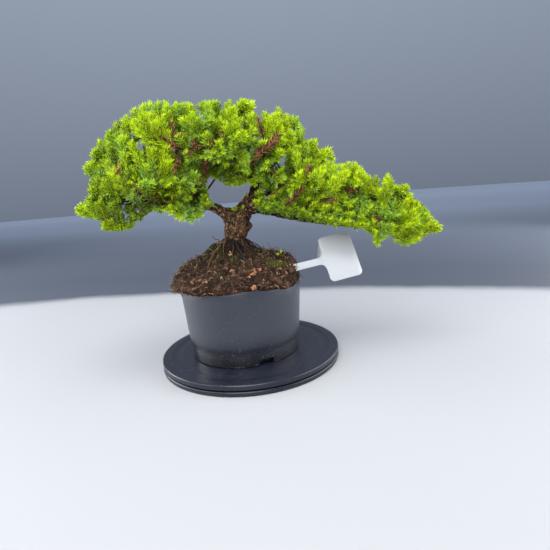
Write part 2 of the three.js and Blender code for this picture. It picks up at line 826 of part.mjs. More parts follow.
// One spray, its stem and shoots bent clear of what is already there
function sprayOf({ index, seat, tip }, others) {
  for (let attempt = 0; attempt < 14; attempt++) {
    const turn = 2.4 * attempt;
    const swing = vec(Math.cos(turn), Math.sin(turn), 0.5).multiplyScalar(0.07 * attempt);
    const stem = stemCurve(seat, tip, swing);
    const bare = Math.max(SIDE_ROOT, stem.getLength() - END_SHOOT_LENGTH);
    let spray = shootSolid(stem, bare, 6.28 * draw(index, 0, 5));
    if (!isClear(spray, others)) continue;
    SHOWN_SHOOTS.forEach((k) => {
      const place = mix(0.28, 0.86, (k + 0.5) / SIDE_SHOOTS);
      const full = SIDE_LENGTH * mix(1.05, 0.6, place) * mix(0.85, 1.15, draw(index, k, 7));
      for (let bent = 0; bent < 12; bent++) {
        const azimuth = k * SHOOT_TURN + draw(index, 0, 6) * 6.28 + 0.52 * bent;
        const curve = sideCurve(stem, place, azimuth, full * (bent > 6 ? 0.75 : 1));
        const shoot = shootSolid(curve, SIDE_ROOT, 6.28 * draw(index, k, 8));
        if (!isClear(shoot, others)) continue;
        spray = spray.add(shoot);
        break;
      }
    });
    return spray.simplify(0.05);
  }
  return null;
}

// Materials
const paint = (color, roughness) => new THREE.MeshStandardMaterial({ color, roughness, metalness: 0 });
const MATERIALS = {
  disc: paint(0x34384a, 0.5),
  pot: paint(0x4a4f57, 0.42),
  soil: paint(0x4a3326, 0.95),
  wood: paint(0x6b4f3a, 0.9),
  label: paint(0xe4e6e8, 0.45),
  needles: [paint(0x8fc81e, 0.6), paint(0x6fae22, 0.6), paint(0x558f2a, 0.6)],
};

const bonsai = new THREE.Group();
const placed = [];

function place(name, solid, material) {
  const mesh = new THREE.Mesh(geometryOf(solid), material);
  mesh.name = name;
  bonsai.add(mesh);
  placed.push({ name, solid, box: solid.boundingBox() });
}

place("turntable_base", turntableBase(), MATERIALS.disc);
place("turntable_top", turntableTop(), MATERIALS.disc.clone());
place("pot", pot(), MATERIALS.pot);
place("root_ball", rootBall([...treeHoles(), labelSolid(HOLE_CLEARANCE)]), MATERIALS.soil);
place("trunk_and_limbs", tree(), MATERIALS.wood);
place("plant_label", labelSolid(0), MATERIALS.label);

let count = 0;
sprayLayout().forEach((layout) => {
  const spray = sprayOf(layout, placed);
  if (!spray) return;
  count += 1;
  place(`spray_${String(count).padStart(2, "0")}`, largestBody(spray), MATERIALS.needles[count % 3].clone());
});

export default bonsai;
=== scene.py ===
"""Looks of the garden juniper bonsai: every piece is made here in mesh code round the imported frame.

Lengths are in millimetres until a mesh is made; the frame itself is in metres.
"""

import math

import bmesh
import bpy
import numpy as np
from mathutils import Matrix, Vector, noise


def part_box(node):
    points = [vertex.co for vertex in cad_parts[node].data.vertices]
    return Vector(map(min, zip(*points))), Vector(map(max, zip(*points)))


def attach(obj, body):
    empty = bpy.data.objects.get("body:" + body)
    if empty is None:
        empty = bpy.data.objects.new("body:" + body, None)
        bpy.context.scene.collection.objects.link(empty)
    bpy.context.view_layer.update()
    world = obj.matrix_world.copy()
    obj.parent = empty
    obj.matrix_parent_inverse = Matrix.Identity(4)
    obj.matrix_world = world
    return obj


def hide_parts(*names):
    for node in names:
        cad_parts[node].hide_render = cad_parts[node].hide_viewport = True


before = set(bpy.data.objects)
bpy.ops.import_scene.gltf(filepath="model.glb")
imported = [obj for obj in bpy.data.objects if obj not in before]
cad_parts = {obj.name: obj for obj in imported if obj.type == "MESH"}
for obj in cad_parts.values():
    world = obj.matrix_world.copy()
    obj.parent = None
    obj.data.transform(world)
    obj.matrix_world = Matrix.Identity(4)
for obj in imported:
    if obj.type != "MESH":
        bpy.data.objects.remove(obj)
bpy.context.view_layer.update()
MM = 0.001
TURNING = "turning_plant"
FOOT = "turntable_foot"

# ---- camera, stage and light

CAMERA_AT = (0.0, -0.5088, 0.2116)
CAMERA_RIGHT = (0.99302, -0.09121, -0.07475)
CAMERA_UP = (0.09163, 0.19769, 0.97597)
CAMERA_FORWARD = (0.07424, 0.97601, -0.20467)
LENS = 26.5
SENSOR = 36.0
PICTURE = 550
COOL_LIGHT = (0.97, 0.98, 1.0)
# Name, place, height of the point it shines at, size, power and colour
LIGHTS = [
    ("top", (-0.25, -0.45, 1.5), 0.2, 1.3, 25, (1.0, 0.99, 0.96)),
    ("front", (-0.35, -1.5, 0.85), 0.2, 1.3, 27, (1.0, 0.995, 0.98)),
    ("left", (-1.4, -0.6, 0.8), 0.15, 1.0, 13, COOL_LIGHT),
    ("right", (1.4, -0.5, 0.75), 0.15, 1.0, 21, COOL_LIGHT),
    ("left_rim", (-1.35, 0.35, 0.42), 0.12, 1.0, 23, COOL_LIGHT),
    ("right_rim", (1.35, 0.35, 0.42), 0.12, 1.0, 13, COOL_LIGHT),
]
# The room is darkest low down: the heights between which it grows paler, and its colour at both
ROOM_SPAN = (-0.12, 0.55)
ROOM_COLORS = ((0.130, 0.155, 0.205, 1.0), (0.345, 0.400, 0.50, 1.0))


def make_camera():
    data = bpy.data.cameras.new("camera")
    data.lens = LENS
    data.sensor_width = SENSOR
    data.clip_start = 0.01
    data.clip_end = 50.0
    camera = bpy.data.objects.new("camera", data)
    bpy.context.scene.collection.objects.link(camera)
    turn = Matrix((CAMERA_RIGHT, CAMERA_UP, [-v for v in CAMERA_FORWARD])).transposed()
    camera.matrix_world = Matrix.Translation(CAMERA_AT) @ turn.to_4x4()
    bpy.context.scene.camera = camera


def make_lights():
    for name, at, aim, size, power, color in LIGHTS:
        data = bpy.data.lights.new(name, "AREA")
        data.shape = "DISK"
        data.size = size
        data.energy = power
        data.color = color
        light = bpy.data.objects.new(name, data)
        bpy.context.scene.collection.objects.link(light)
        light.location = at
        light.rotation_euler = (Vector((0, 0, aim)) - Vector(at)).to_track_quat("-Z", "Y").to_euler()
        light.visible_camera = False


def make_room():
    world = bpy.data.worlds.new("studio")
    bpy.context.scene.world = world
    world.use_nodes = True
    tree = world.node_tree
    height = tree.nodes.new("ShaderNodeSeparateXYZ")
    tree.links.new(tree.nodes.new("ShaderNodeTexCoord").outputs["Generated"], height.inputs["Vector"])
    place = tree.nodes.new("ShaderNodeMapRange")
    place.inputs["From Min"].default_value, place.inputs["From Max"].default_value = ROOM_SPAN
    tree.links.new(height.outputs["Z"], place.inputs["Value"])
    shade = tree.nodes.new("ShaderNodeValToRGB")
    for element, color in zip(shade.color_ramp.elements, ROOM_COLORS):
        element.color = color
    tree.links.new(place.outputs["Result"], shade.inputs["Fac"])
    tree.links.new(shade.outputs["Color"], tree.nodes["Background"].inputs["Color"])
    bpy.context.scene.view_settings.view_transform = "Standard"


make_camera()
make_lights()
make_room()

# ---- small maths


def mix(a, b, part):
    return a + (b - a) * part


def smoothstep(x, low, high):
    t = np.clip((x - low) / (high - low), 0.0, 1.0)
    return t * t * (3 - 2 * t)


def unit(v):
    v = np.asarray(v, float)
    return v / np.maximum(np.linalg.norm(v, axis=-1, keepdims=True), 1e-12)


def across_of(direction):
    """A direction square to a given one."""
    x, y, z = direction
    return unit(np.cross([z, x, y], direction))


def bezier(a, b, c, count):
    t = np.linspace(0, 1, count)[:, None]
    return (1 - t) ** 2 * a + 2 * t * (1 - t) * b + t * t * c


def line_lengths(line):
    return np.concatenate([[0], np.cumsum(np.linalg.norm(np.diff(line, axis=0), axis=1))])


def along_line(line, lengths, places):
    return np.stack([np.interp(places, lengths, line[:, k]) for k in range(3)], axis=-1)


def smooth_line(points, steps):
    """Points with any number of columns, joined by Catmull-Rom curves."""
    p = np.asarray(points, float)
    p = np.vstack([2 * p[0] - p[1], p, 2 * p[-1] - p[-2]])
    rows = []
    for i in range(1, len(p) - 2):
        for t in np.arange(steps) / steps:
            a, b, c, d = p[i - 1 : i + 3]
            square, cube = 2 * a - 5 * b + 4 * c - d, 3 * b - a - 3 * c + d
            rows.append(0.5 * (2 * b + (c - a) * t + square * t**2 + cube * t**3))
    rows.append(p[-2])
    return np.array(rows)


NOISE_GAIN = 1.3


def fractal(points, size, seed, octaves=3):
    """Smooth noise from about -1 to 1 at each point; size is its largest feature in mm."""
    total = np.zeros(len(points))
    shift = Vector((seed * 7.13, seed * 3.71, seed * 5.37))
    for octave in range(octaves):
        scale = 2**octave / size
        total += [noise.noise(Vector(p) * scale + shift) / 2**octave for p in points.tolist()]
    return total * NOISE_GAIN


# ---- meshes


def make_object(name, verts, faces, materials, body, smooth=True, slots=None, numbers=None, uv=None):
    """A mesh object from arrays: faces are all triangles or all quads, numbers are per face."""
    faces = np.asarray(faces, np.int32)
    corners = faces.shape[1]
    mesh = bpy.data.meshes.new(name)
    mesh.vertices.add(len(verts))
    mesh.vertices.foreach_set("co", (np.asarray(verts, float) * MM).astype(np.float32).ravel())
    mesh.loops.add(faces.size)
    mesh.loops.foreach_set("vertex_index", faces.ravel())
    mesh.polygons.add(len(faces))
    mesh.polygons.foreach_set("loop_start", np.arange(0, faces.size, corners, dtype=np.int32))
    if slots is not None:
        mesh.polygons.foreach_set("material_index", np.asarray(slots, np.int32))
    smooth = np.broadcast_to(np.asarray(smooth, bool), len(faces))
    mesh.polygons.foreach_set("use_smooth", np.ascontiguousarray(smooth))
    mesh.update(calc_edges=True)
    for key, values in (numbers or {}).items():
        mesh.attributes.new(key, "FLOAT", "FACE").data.foreach_set("value", np.asarray(values, np.float32))
    if uv is not None:
        layer = mesh.uv_layers.new(name="OFBake")
        layer.data.foreach_set("uv", np.asarray(uv, np.float32).ravel())
    for item in materials:
        mesh.materials.append(item)
    piece = bpy.data.objects.new(name, mesh)
    bpy.context.scene.collection.objects.link(piece)
    if body:
        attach(piece, body)
    return piece


def grid_faces(rows, columns):
    """Quads over rows of vertices that each close on themselves."""
    r, c = np.meshgrid(np.arange(rows - 1), np.arange(columns), indexing="ij")
    a = r * columns + c
    b = r * columns + (c + 1) % columns
    return np.stack([a, b, b + columns, a + columns], axis=-1).reshape(-1, 4)


def closed_skin(rings):
    """Vertices and triangles of rings joined in a row and closed by a fan at each end."""
    rings = np.asarray(rings, float)
    count, sides = rings.shape[:2]
    quads = grid_faces(count, sides)
    verts = np.vstack([rings.reshape(-1, 3), rings[0].mean(axis=0), rings[-1].mean(axis=0)])
    s = np.arange(sides)
    n = (s + 1) % sides
    first, last = count * sides, count * sides + 1
    top = (count - 1) * sides
    caps = [np.stack([n, s, np.full(sides, first)], axis=1), np.stack([top + s, top + n, np.full(sides, last)], axis=1)]
    return verts, np.vstack([quads[:, [0, 1, 2]], quads[:, [0, 2, 3]], *caps])


def joined(parts):
    """Vertices and faces of several skins as one."""
    starts = np.cumsum([0] + [len(verts) for verts, _ in parts[:-1]])
    faces = [part[1] + start for part, start in zip(parts, starts)]
    return np.vstack([verts for verts, _ in parts]), np.vstack(faces)


def lathe(profile, sides, centre=(0.0, 0.0)):
    """Rings of a solid of revolution from radius and height pairs, bottom first."""
    turn = 2 * np.pi * np.arange(sides) / sides
    return [
        np.stack([centre[0] + r * np.cos(turn), centre[1] + r * np.sin(turn), np.full(sides, z)], axis=1)
        for r, z in profile
    ]


def rounded(points, steps):
    """A profile of radius and height pairs; each point between the ends carries its corner's radius."""
    out = [np.array(points[0][:2], float)]
    for before, here, after in zip(points, points[1:], points[2:]):
        p = np.array(here[:2], float)
        a, b = np.array(before[:2]) - p, np.array(after[:2]) - p
        reach = min(here[2], 0.45 * np.linalg.norm(a), 0.45 * np.linalg.norm(b))
        out.extend(bezier(p + unit(a) * reach, p, p + unit(b) * reach, steps))
    out.append(np.array(points[-1][:2], float))
    return out


TUBE_CAP = 0.04
TUBE_TIP = 0.7
CELL_MARGIN = 0.03
CELL_FILLED = 0.94


def tube_template(count, sides):
    """Triangles of one tube and their corners' places in a unit cell of the bake map."""
    tris, cells = [], []
    low, high = TUBE_CAP, 1 - TUBE_CAP
    for r in range(count - 1):
        v, z = (mix(low, high, row / (count - 1)) for row in (r, r + 1))
        for s in range(sides):
            n = (s + 1) % sides
            a, b, c, d = r * sides + s, r * sides + n, (r + 1) * sides + n, (r + 1) * sides + s
            u, w = s / sides, (s + 1) / sides
            tris += [(a, b, c), (a, c, d)]
            cells += [((u, v), (w, v), (w, z)), ((u, v), (w, z), (u, z))]
    top = (count - 1) * sides
    for s in range(sides):
        n = (s + 1) % sides
        u, w = s / sides, (s + 1) / sides
        middle = (u + w) / 2
        tris += [(n, s, count * sides), (top + s, top + n, count * sides + 1)]
        cells += [((w, low), (u, low), (middle, 0)), ((u, high), (w, high), (middle, 1))]
    return np.array(tris), np.array(cells, float)


def tubes(lines, radii, sides, flat=1.0):
    """Many tubes at once. Lines are tube, point, xyz and radii are tube, point."""
    lines, radii = np.asarray(lines, float), np.asarray(radii, float)
    many, count = lines.shape[:2]
    tangent = unit(np.gradient(lines, axis=1))
    start = tangent[:, 0]
    across = unit(np.cross(start[:, [2, 0, 1]], start))
    turn = 2 * np.pi * np.arange(sides) / sides
    verts = np.zeros((many, count * sides + 2, 3))
    for k in range(count):
        across = unit(across - np.sum(across * tangent[:, k], axis=1, keepdims=True) * tangent[:, k])
        up = np.cross(tangent[:, k], across)
        for s in range(sides):
            offset = across * math.cos(turn[s]) + up * (flat * math.sin(turn[s]))
            verts[:, k * sides + s] = lines[:, k] + offset * radii[:, k, None]
    verts[:, -2] = lines[:, 0]
    verts[:, -1] = lines[:, -1] + tangent[:, -1] * radii[:, -1, None] * TUBE_TIP
    tris, cells = tube_template(count, sides)
    shift = (np.arange(many) * (count * sides + 2))[:, None, None]
    return verts.reshape(-1, 3), (tris[None] + shift).reshape(-1, 3), cells, len(tris)


def cell_map(cells, many, low, high):
    """Bake-map corners for many copies of a template, each in its own cell of a band from low to high."""
    columns = max(1, math.ceil(math.sqrt(many / max(high - low, 0.02))))
    rows = max(1, math.ceil(many / columns))
    i = np.arange(many)
    size = np.array([1 / columns, (high - low) / rows])
    at = np.stack([(i % columns) * size[0], low + (i // columns) * size[1]], axis=1)
    inner = cells[None] * (CELL_FILLED * size)
    return (inner + at[:, None, None] + CELL_MARGIN * size).reshape(-1, 3, 2)


# ---- materials


class Look:
    """A material, with short names for the nodes that the surfaces share."""

    def __init__(self, name, roughness, specular):
        self.material = bpy.data.materials.new(name)
        self.material.use_nodes = True
        self.tree = self.material.node_tree
        self.shader = self.tree.nodes["Principled BSDF"]
        self.shader.inputs["Roughness"].default_value = roughness
        self.shader.inputs["Specular IOR Level"].default_value = specular
        self.place = self.node("TexCoord").outputs["Object"]

    def node(self, kind, inputs=None, **settings):
        made = self.tree.nodes.new("ShaderNode" + kind)
        for key, value in settings.items():
            setattr(made, key, value)
        for key, value in (inputs or {}).items():
            if isinstance(value, bpy.types.NodeSocket):
                self.tree.links.new(value, made.inputs[key])
            else:
                made.inputs[key].default_value = value
        return made

    def put(self, key, socket):
        self.tree.links.new(socket, self.shader.inputs[key])

    def attribute(self, name):
        return self.node("Attribute", attribute_name=name).outputs["Fac"]

    def combine(self, x, y):
        return self.node("CombineXYZ", {0: x, 1: y}).outputs["Vector"]

    def noise(self, scale, detail=4.0, rough=0.55, at=None):
        vector = self.place if at is None else at
        inputs = {"Vector": vector, "Scale": scale, "Detail": detail, "Roughness": rough}
        return self.node("TexNoise", inputs).outputs["Fac"]

    def ramp(self, factor, stops):
        made = self.node("ValToRGB", {"Fac": factor})
        elements = made.color_ramp.elements
        while len(elements) < len(stops):
            elements.new(0.5)
        for element, (place, color) in zip(elements, stops):
            element.position = place
            element.color = (*color, 1.0)
        return made.outputs["Color"]

    def blend(self, factor, first, second):
        """A colour blended towards a second one, which may be plain numbers."""
        if isinstance(second, tuple):
            second = (*second, 1.0)
        return self.node("MixRGB", {"Fac": factor, "Color1": first, "Color2": second}).outputs["Color"]

    def remap(self, value, low, high, to_low, to_high):
        inputs = {"Value": value, "From Min": low, "From Max": high, "To Min": to_low, "To Max": to_high}
        return self.node("MapRange", inputs).outputs["Result"]

    def add(self, first, second):
        return self.node("Math", {0: first, 1: second}, operation="ADD").outputs["Value"]

    def times(self, first, second):
        return self.node("Math", {0: first, 1: second}, operation="MULTIPLY").outputs["Value"]

    def vector(self, operation, first, second=(0, 0, 0), output="Value"):
        return self.node("VectorMath", {0: first, 1: second}, operation=operation).outputs[output]

    def bump(self, height, strength, distance):
        inputs = {"Height": height, "Strength": strength, "Distance": distance}
        self.put("Normal", self.node("Bump", inputs).outputs["Normal"])


DUST = (0.42, 0.42, 0.42)
# Colour of the painted shade and reflection of the dark disc low on the pot
FOOT_PAINTED_SHADE = (0.003, 0.0035, 0.005)
# Low steps moulded in the disc's top: radius in metres and height in mm
RING_REACH = 0.12
DISC_RINGS = [
    (0.0735, 0.0),
    (0.0755, 0.35),
    (0.0880, 0.35),
    (0.0905, 0.0),
    (0.1010, 0.0),
    (0.1035, 0.4),
    (0.1110, 0.4),
]


def plastic(name, dark, light, roughness, specular, foot=None, rings=None):
    """Moulded plastic: a fine grain, soft smears in its gloss, and pale dust, thicker near its foot, where a painted
    shade and a painted reflection of the dark disc also darken it.
    """
    look = Look(name, roughness, specular)
    smear = look.noise(14.0, 5.0, 0.6)
    base = look.ramp(smear, [(0.3, dark), (0.7, light)])
    specks = look.noise(700.0, 1.0, 0.5)
    dust = look.remap(specks, 0.73, 0.8, 0.0, 0.4)
    if foot:
        height = look.node("SeparateXYZ", {0: look.place}).outputs["Z"]
        level = look.add(height, look.remap(smear, 0.3, 0.7, -0.003, 0.003))
        low = look.remap(level, *foot, 1.0, 0.0)
        # Painted shade and reflection: the foot darkens towards near black
        base = look.blend(look.times(low, 0.92), base, FOOT_PAINTED_SHADE)
        dust = look.add(dust, look.times(low, look.remap(specks, 0.64, 0.74, 0.0, 0.22)))
    look.put("Base Color", look.blend(dust, base, DUST))
    look.put("Roughness", look.remap(smear, 0.3, 0.7, roughness - 0.07, roughness + 0.1))
    grain = look.noise(900.0, 2.0)
    if rings:
        radius = look.vector("LENGTH", look.vector("MULTIPLY", look.place, (1, 1, 0), "Vector"))
        stops = [(r / RING_REACH, (h, h, h)) for r, h in rings]
        steps = look.ramp(look.remap(radius, 0.0, RING_REACH, 0.0, 1.0), stops)
        look.bump(look.add(look.times(grain, 0.024), steps), 0.8, 0.001)
    else:
        look.bump(grain, 0.12, 0.0002)
    return look.material


def bark_material():
    """Flaky juniper bark: ridges that run with the limb, grey-brown over reddish."""
    look = Look("bark", 0.88, 0.25)
    along = look.combine(look.attribute("turn"), look.attribute("along"))
    ridges = look.noise(1.0, 6.0, 0.62, along)
    patches = look.noise(42.0)
    grain = look.noise(420.0, 4.0, 0.7)
    plates = look.noise(0.55, 5.0, 0.75, along)
    cover = look.add(look.times(ridges, 0.45), look.times(grain, 0.3))
    cover = look.add(cover, look.times(plates, 0.3))
    stops = [
        (0.465, (0.003, 0.0015, 0.001)),
        (0.505, (0.020, 0.010, 0.004)),
        (0.55, (0.085, 0.043, 0.017)),
        (0.595, (0.36, 0.225, 0.115)),
    ]
    reddish = look.remap(patches, 0.5, 0.7, 0.0, 0.4)
    color = look.blend(reddish, look.ramp(cover, stops), (0.16, 0.060, 0.024))
    color = look.blend(look.attribute("burl"), color, (0.155, 0.076, 0.035))
    # Painted shade: near black at the trunk's foot, in the fork and in the hollow
    color = look.blend(look.attribute("shade"), color, (0.011, 0.007, 0.0045))
    color = look.blend(look.remap(grain, 0.38, 0.56, 0.8, 0.0), color, (0.009, 0.005, 0.003))
    look.put("Base Color", color)
    look.bump(look.add(ridges, look.times(grain, 0.35)), 0.9, 0.0012)
    return look.material


def twig_material():
    """Twigs by age, from brown wood to the green of this year's ends."""
    look = Look("twig", 0.7, 0.3)
    stops = [
        (0.0, (0.075, 0.034, 0.017)),
        (0.35, (0.19, 0.105, 0.022)),
        (0.65, (0.44, 0.37, 0.020)),
        (1.0, (0.52, 0.58, 0.02)),
    ]
    base = look.ramp(look.attribute("age"), stops)
    grain = look.noise(700.0, 3.0)
    color = look.blend(look.remap(grain, 0.35, 0.7, 0.5, 0.0), base, (0.05, 0.028, 0.014))
    look.put("Base Color", color)
    look.bump(grain, 0.4, 0.0003)
    return look.material


def needle_material():
    """Needles by age, from deep green inside to yellow-green tips, with a pale band on old inner faces; the age also
    carries painted light on up-facing tips and painted shade deep in the crown.
    """
    look = Look("needles", 0.6, 0.08)
    rnd = look.attribute("rnd")
    drift = look.remap(look.noise(22.0, 3.0), 0.3, 0.7, -0.14, 0.14)
    spread = look.add(drift, look.remap(rnd, 0.0, 1.0, -0.11, 0.11))
    green = [
        (0.0, (0.040, 0.070, 0.004)),
        (0.28, (0.140, 0.225, 0.004)),
        (0.52, (0.255, 0.395, 0.005)),
        (0.76, (0.380, 0.550, 0.008)),
        (1.0, (0.550, 0.700, 0.016)),
    ]
    brown = [(0.0, (0.070, 0.026, 0.012)), (0.5, (0.19, 0.080, 0.036)), (1.0, (0.42, 0.21, 0.095))]
    mottle = look.noise(260.0, 3.0)
    cool = look.noise(31.0, 2.0)
    color = look.ramp(look.add(look.attribute("age"), spread), green)
    color = look.blend(look.remap(mottle, 0.35, 0.72, 0.0, 0.3), color, (0.42, 0.42, 0.008))
    color = look.blend(look.remap(cool, 0.52, 0.68, 0.0, 0.45), color, (0.17, 0.40, 0.075))
    color = look.blend(look.attribute("band"), color, (0.20, 0.37, 0.12))
    look.put("Base Color", look.blend(look.attribute("dead"), color, look.ramp(rnd, brown)))
    look.put("Roughness", look.remap(mottle, 0.3, 0.7, 0.52, 0.7))
    return look.material


def soil_material():
    """Dark peat with a net of pale threads and moss, with painted shade under the trunk and low in the pot."""
    look = Look("soil", 0.95, 0.15)
    coarse = look.noise(90.0, 6.0, 0.68)
    stops = [
        (0.41, (0.003, 0.0015, 0.001)),
        (0.50, (0.014, 0.007, 0.004)),
        (0.59, (0.050, 0.024, 0.014)),
        (0.72, (0.19, 0.11, 0.066)),
    ]
    tall = look.node("Mapping", {"Vector": look.place, "Scale": (1, 1, 2.2)}).outputs["Vector"]
    net = look.node("TexVoronoi", {"Vector": tall, "Scale": 330.0}, feature="DISTANCE_TO_EDGE")
    threads = look.remap(net.outputs["Distance"], 0.0, 0.06, 0.45, 0.0)
    color = look.blend(threads, look.ramp(coarse, stops), (0.15, 0.088, 0.053))
    color = look.blend(look.attribute("moss"), color, (0.060, 0.070, 0.010))
    # Painted shade: near black under the trunk and deep in the pot
    color = look.blend(look.attribute("humus"), color, (0.012, 0.008, 0.006))
    look.put("Base Color", color)
    look.bump(look.add(coarse, look.times(look.noise(520.0, 3.0), 0.5)), 1.0, 0.0022)
    return look.material


def tinted(name, stops, scale, roughness=0.8, specular=0.3):
    """A natural surface whose colour follows each small part's own number and a fine grain."""
    look = Look(name, roughness, specular)
    grain = look.noise(scale, 4.0, 0.65)
    base = look.ramp(look.attribute("rnd"), stops)
    dark = tuple(0.35 * v for v in stops[0][1])
    look.put("Base Color", look.blend(look.remap(grain, 0.3, 0.7, 0.55, 0.0), base, dark))
    look.bump(grain, 0.5, 0.0004)
    return look.material


# The floor's colour by distance from the object, as a part of the reach in metres
FLOOR_TONES = [
    (0.0, (0.325, 0.333, 0.347)),
    (0.0655, (0.315, 0.322, 0.336)),
    (0.074, (0.060, 0.070, 0.091)),
    (0.11, (0.060, 0.070, 0.093)),
    (0.20, (0.100, 0.115, 0.150)),
    (0.34, (0.215, 0.245, 0.305)),
    (0.52, (0.43, 0.48, 0.57)),
    (1.0, (0.66, 0.72, 0.82)),
]
FLOOR_REACH = 5.0
# The distance counts most straight behind the object, square to the far edge of the pale part
FLOOR_BEHIND = (0.287, 0.958, 0.0)
FLOOR_SIDEWAYS = (0.335, -0.100, 0.0)


def floor_material():
    """Pale under and before the object, falling to the grey-blue of the room behind it."""
    look = Look("floor", 0.6, 0.2)
    behind = look.vector("DOT_PRODUCT", look.place, FLOOR_BEHIND)
    sideways = look.vector("DOT_PRODUCT", look.place, FLOOR_SIDEWAYS)
    distance = look.vector("LENGTH", look.combine(behind, sideways))
    grain = look.remap(look.noise(5.0), 0.3, 0.7, -0.002, 0.002)
    away = look.add(look.remap(distance, 0.0, FLOOR_REACH, 0.0, 1.0), grain)
    look.put("Base Color", look.ramp(away, FLOOR_TONES))
    return look.material


POT_DARK, POT_LIGHT = (0.019, 0.023, 0.033), (0.027, 0.032, 0.044)
DISC_DARK, DISC_LIGHT = (0.006, 0.007, 0.013), (0.010, 0.012, 0.021)
LABEL_DARK, LABEL_LIGHT = (0.39, 0.405, 0.43), (0.43, 0.445, 0.47)
POT_PLASTIC = plastic("pot_plastic", POT_DARK, POT_LIGHT, 0.31, 0.5, foot=(0.016, 0.054))
DISC_PLASTIC = plastic("disc_plastic", DISC_DARK, DISC_LIGHT, 0.3, 0.42, rings=DISC_RINGS)
LABEL_PLASTIC = plastic("label_plastic", LABEL_DARK, LABEL_LIGHT, 0.38, 0.5)
BARK = bark_material()
TWIG = twig_material()
NEEDLES = needle_material()
SOIL = soil_material()

# ---- floor

FLOOR_DROP = -0.05
FLOOR_RADII = (1.0, 900.0, 9000.0)
FLOOR_SIDES = 96


def make_floor():
    verts = np.vstack(lathe([(r, FLOOR_DROP) for r in FLOOR_RADII], FLOOR_SIDES))
    floor = make_object("floor", verts, grid_faces(len(FLOOR_RADII), FLOOR_SIDES), [floor_material()], None)


make_floor()

# ---- turntable, pot and label

DISC_RADIUS = 114.0
BASE_DISC_HEIGHT = 5.6
DISC_SPLIT = 1.4
STACK_HEIGHT = 13.4
BOSS_RADIUS = 14.0
BOSS_RISE = 4.1
BOSS_CLEARANCE = 0.6
SOCKET_HEADROOM = 0.3
GROOVE_OUTSIDE = 101.5
GROOVE_INSIDE = 91.0
GROOVE_DEPTH = 1.0
DISC_SIDES = 144

POT_AT = (-5.9, -3.7)
POT_BASE = 13.7
POT_FOOT_RADIUS = 67.6
POT_STEP_RADIUS = 68.6
POT_STEP_TOP = POT_BASE + 19.0
POT_SHOULDER_RADIUS = 70.4
POT_SHOULDER_TOP = POT_STEP_TOP + 1.8
POT_RIM_RADIUS = 75.4
POT_RIM_NOMINAL = 102.0
POT_WALL = 1.8
# Heights over the pot's lowest edge
POT_FLOOR = 2.4
POT_FLOOR_TOP = 4.4
POT_SIDES = 168
# Round the lip: how far in from the outer face, and down from the cut
POT_LIP = [(0.0, 0.5), (0.12, 0.12), (0.45, 0.0), (1.3, 0.0), (1.68, 0.12), (1.8, 0.5)]
SLOT_COUNT = 3
SLOT_TURN = -70.5
SLOT_REACH = 6
SLOT_PROFILE = [(-9.0, -3.0), (9.0, -3.0), (9.0, 6.2), (8.6, 7.0), (7.8, 7.4), (-7.8, 7.4), (-8.6, 7.0), (-9.0, 6.2)]
# The hand-cut rim: height by angle in degrees
RIM_CUT = [
    (-170, 100.2),
    (-140, 101.2),
    (-112, 102.2),
    (-86, 105.4),
    (-62, 102.6),
    (-42, 98.8),
    (-8, 103.4),
    (30, 105.2),
    (75, 102.4),
    (120, 104.2),
    (160, 101.4),
]


# A lathed skin closes at this radius
AXIS = 0.4


def make_turntable():
    boss_top = BASE_DISC_HEIGHT + BOSS_RISE
    base = [
        (AXIS, 0),
        (DISC_RADIUS, 0, 1.4),
        (DISC_RADIUS, BASE_DISC_HEIGHT, 1.6),
        (BOSS_RADIUS, BASE_DISC_HEIGHT, 0.3),
        (BOSS_RADIUS, boss_top, 0.6),
        (AXIS, boss_top),
    ]
    bottom = BASE_DISC_HEIGHT + DISC_SPLIT
    socket = BOSS_RADIUS + BOSS_CLEARANCE
    ceiling = boss_top + SOCKET_HEADROOM
    groove = STACK_HEIGHT - 0.6 * GROOVE_DEPTH
    top = [
        (AXIS, ceiling),
        (socket, ceiling, 0.3),
        (socket, bottom, 0.4),
        (DISC_RADIUS, bottom, 1.6),
        (DISC_RADIUS, STACK_HEIGHT, 1.8),
        (GROOVE_OUTSIDE, STACK_HEIGHT, 1.4),
        (GROOVE_OUTSIDE - 2.6, groove, 1.4),
        (GROOVE_INSIDE + 3.4, groove, 1.8),
        (GROOVE_INSIDE, STACK_HEIGHT, 1.8),
        (AXIS, STACK_HEIGHT),
    ]
    for name, profile, body in (("turntable_base_disc", base, FOOT), ("turntable_top_disc", top, TURNING)):
        verts, tris = closed_skin(lathe(rounded(profile, 5), DISC_SIDES))
        piece = make_object(name, verts, tris, [DISC_PLASTIC], body)
        sharpen(piece, 38)
        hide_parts(name.replace("_disc", ""))


def sharpen(piece, degrees):
    """Smooth shading that keeps edges sharper than the given angle."""
    for edge in piece.data.edges:
        edge.use_edge_sharp = False
    piece.data.set_sharp_from_angle(angle=math.radians(degrees))


def rim_height(degrees):
    turn = (np.asarray(degrees, float) + 170) % 360 - 170
    angles = np.array([a for a, _ in RIM_CUT] + [RIM_CUT[0][0] + 360.0])
    heights = np.array([h for _, h in RIM_CUT] + [RIM_CUT[0][1]])
    i = np.clip(np.searchsorted(angles, turn, side="right") - 1, 0, len(RIM_CUT) - 1)
    part = (turn - angles[i]) / (angles[i + 1] - angles[i])
    return mix(heights[i], heights[i + 1], 0.5 - 0.5 * np.cos(np.pi * part))


def pot_radius(z):
    part = (z - POT_SHOULDER_TOP) / (POT_RIM_NOMINAL - POT_SHOULDER_TOP)
    return mix(POT_SHOULDER_RADIUS, POT_RIM_RADIUS, part)


def slot_cutter(turn):
    """A block through the pot's wall at its foot, at one turn about the pot's axis."""
    ends = []
    for reach in (POT_FOOT_RADIUS - SLOT_REACH, POT_FOOT_RADIUS + SLOT_REACH):
        row = [
            (reach * math.cos(turn) - y * math.sin(turn), reach * math.sin(turn) + y * math.cos(turn), z)
            for y, z in SLOT_PROFILE
        ]
        ends.append(np.array(row) + np.array([POT_AT[0], POT_AT[1], POT_BASE]))
    return closed_skin(ends)


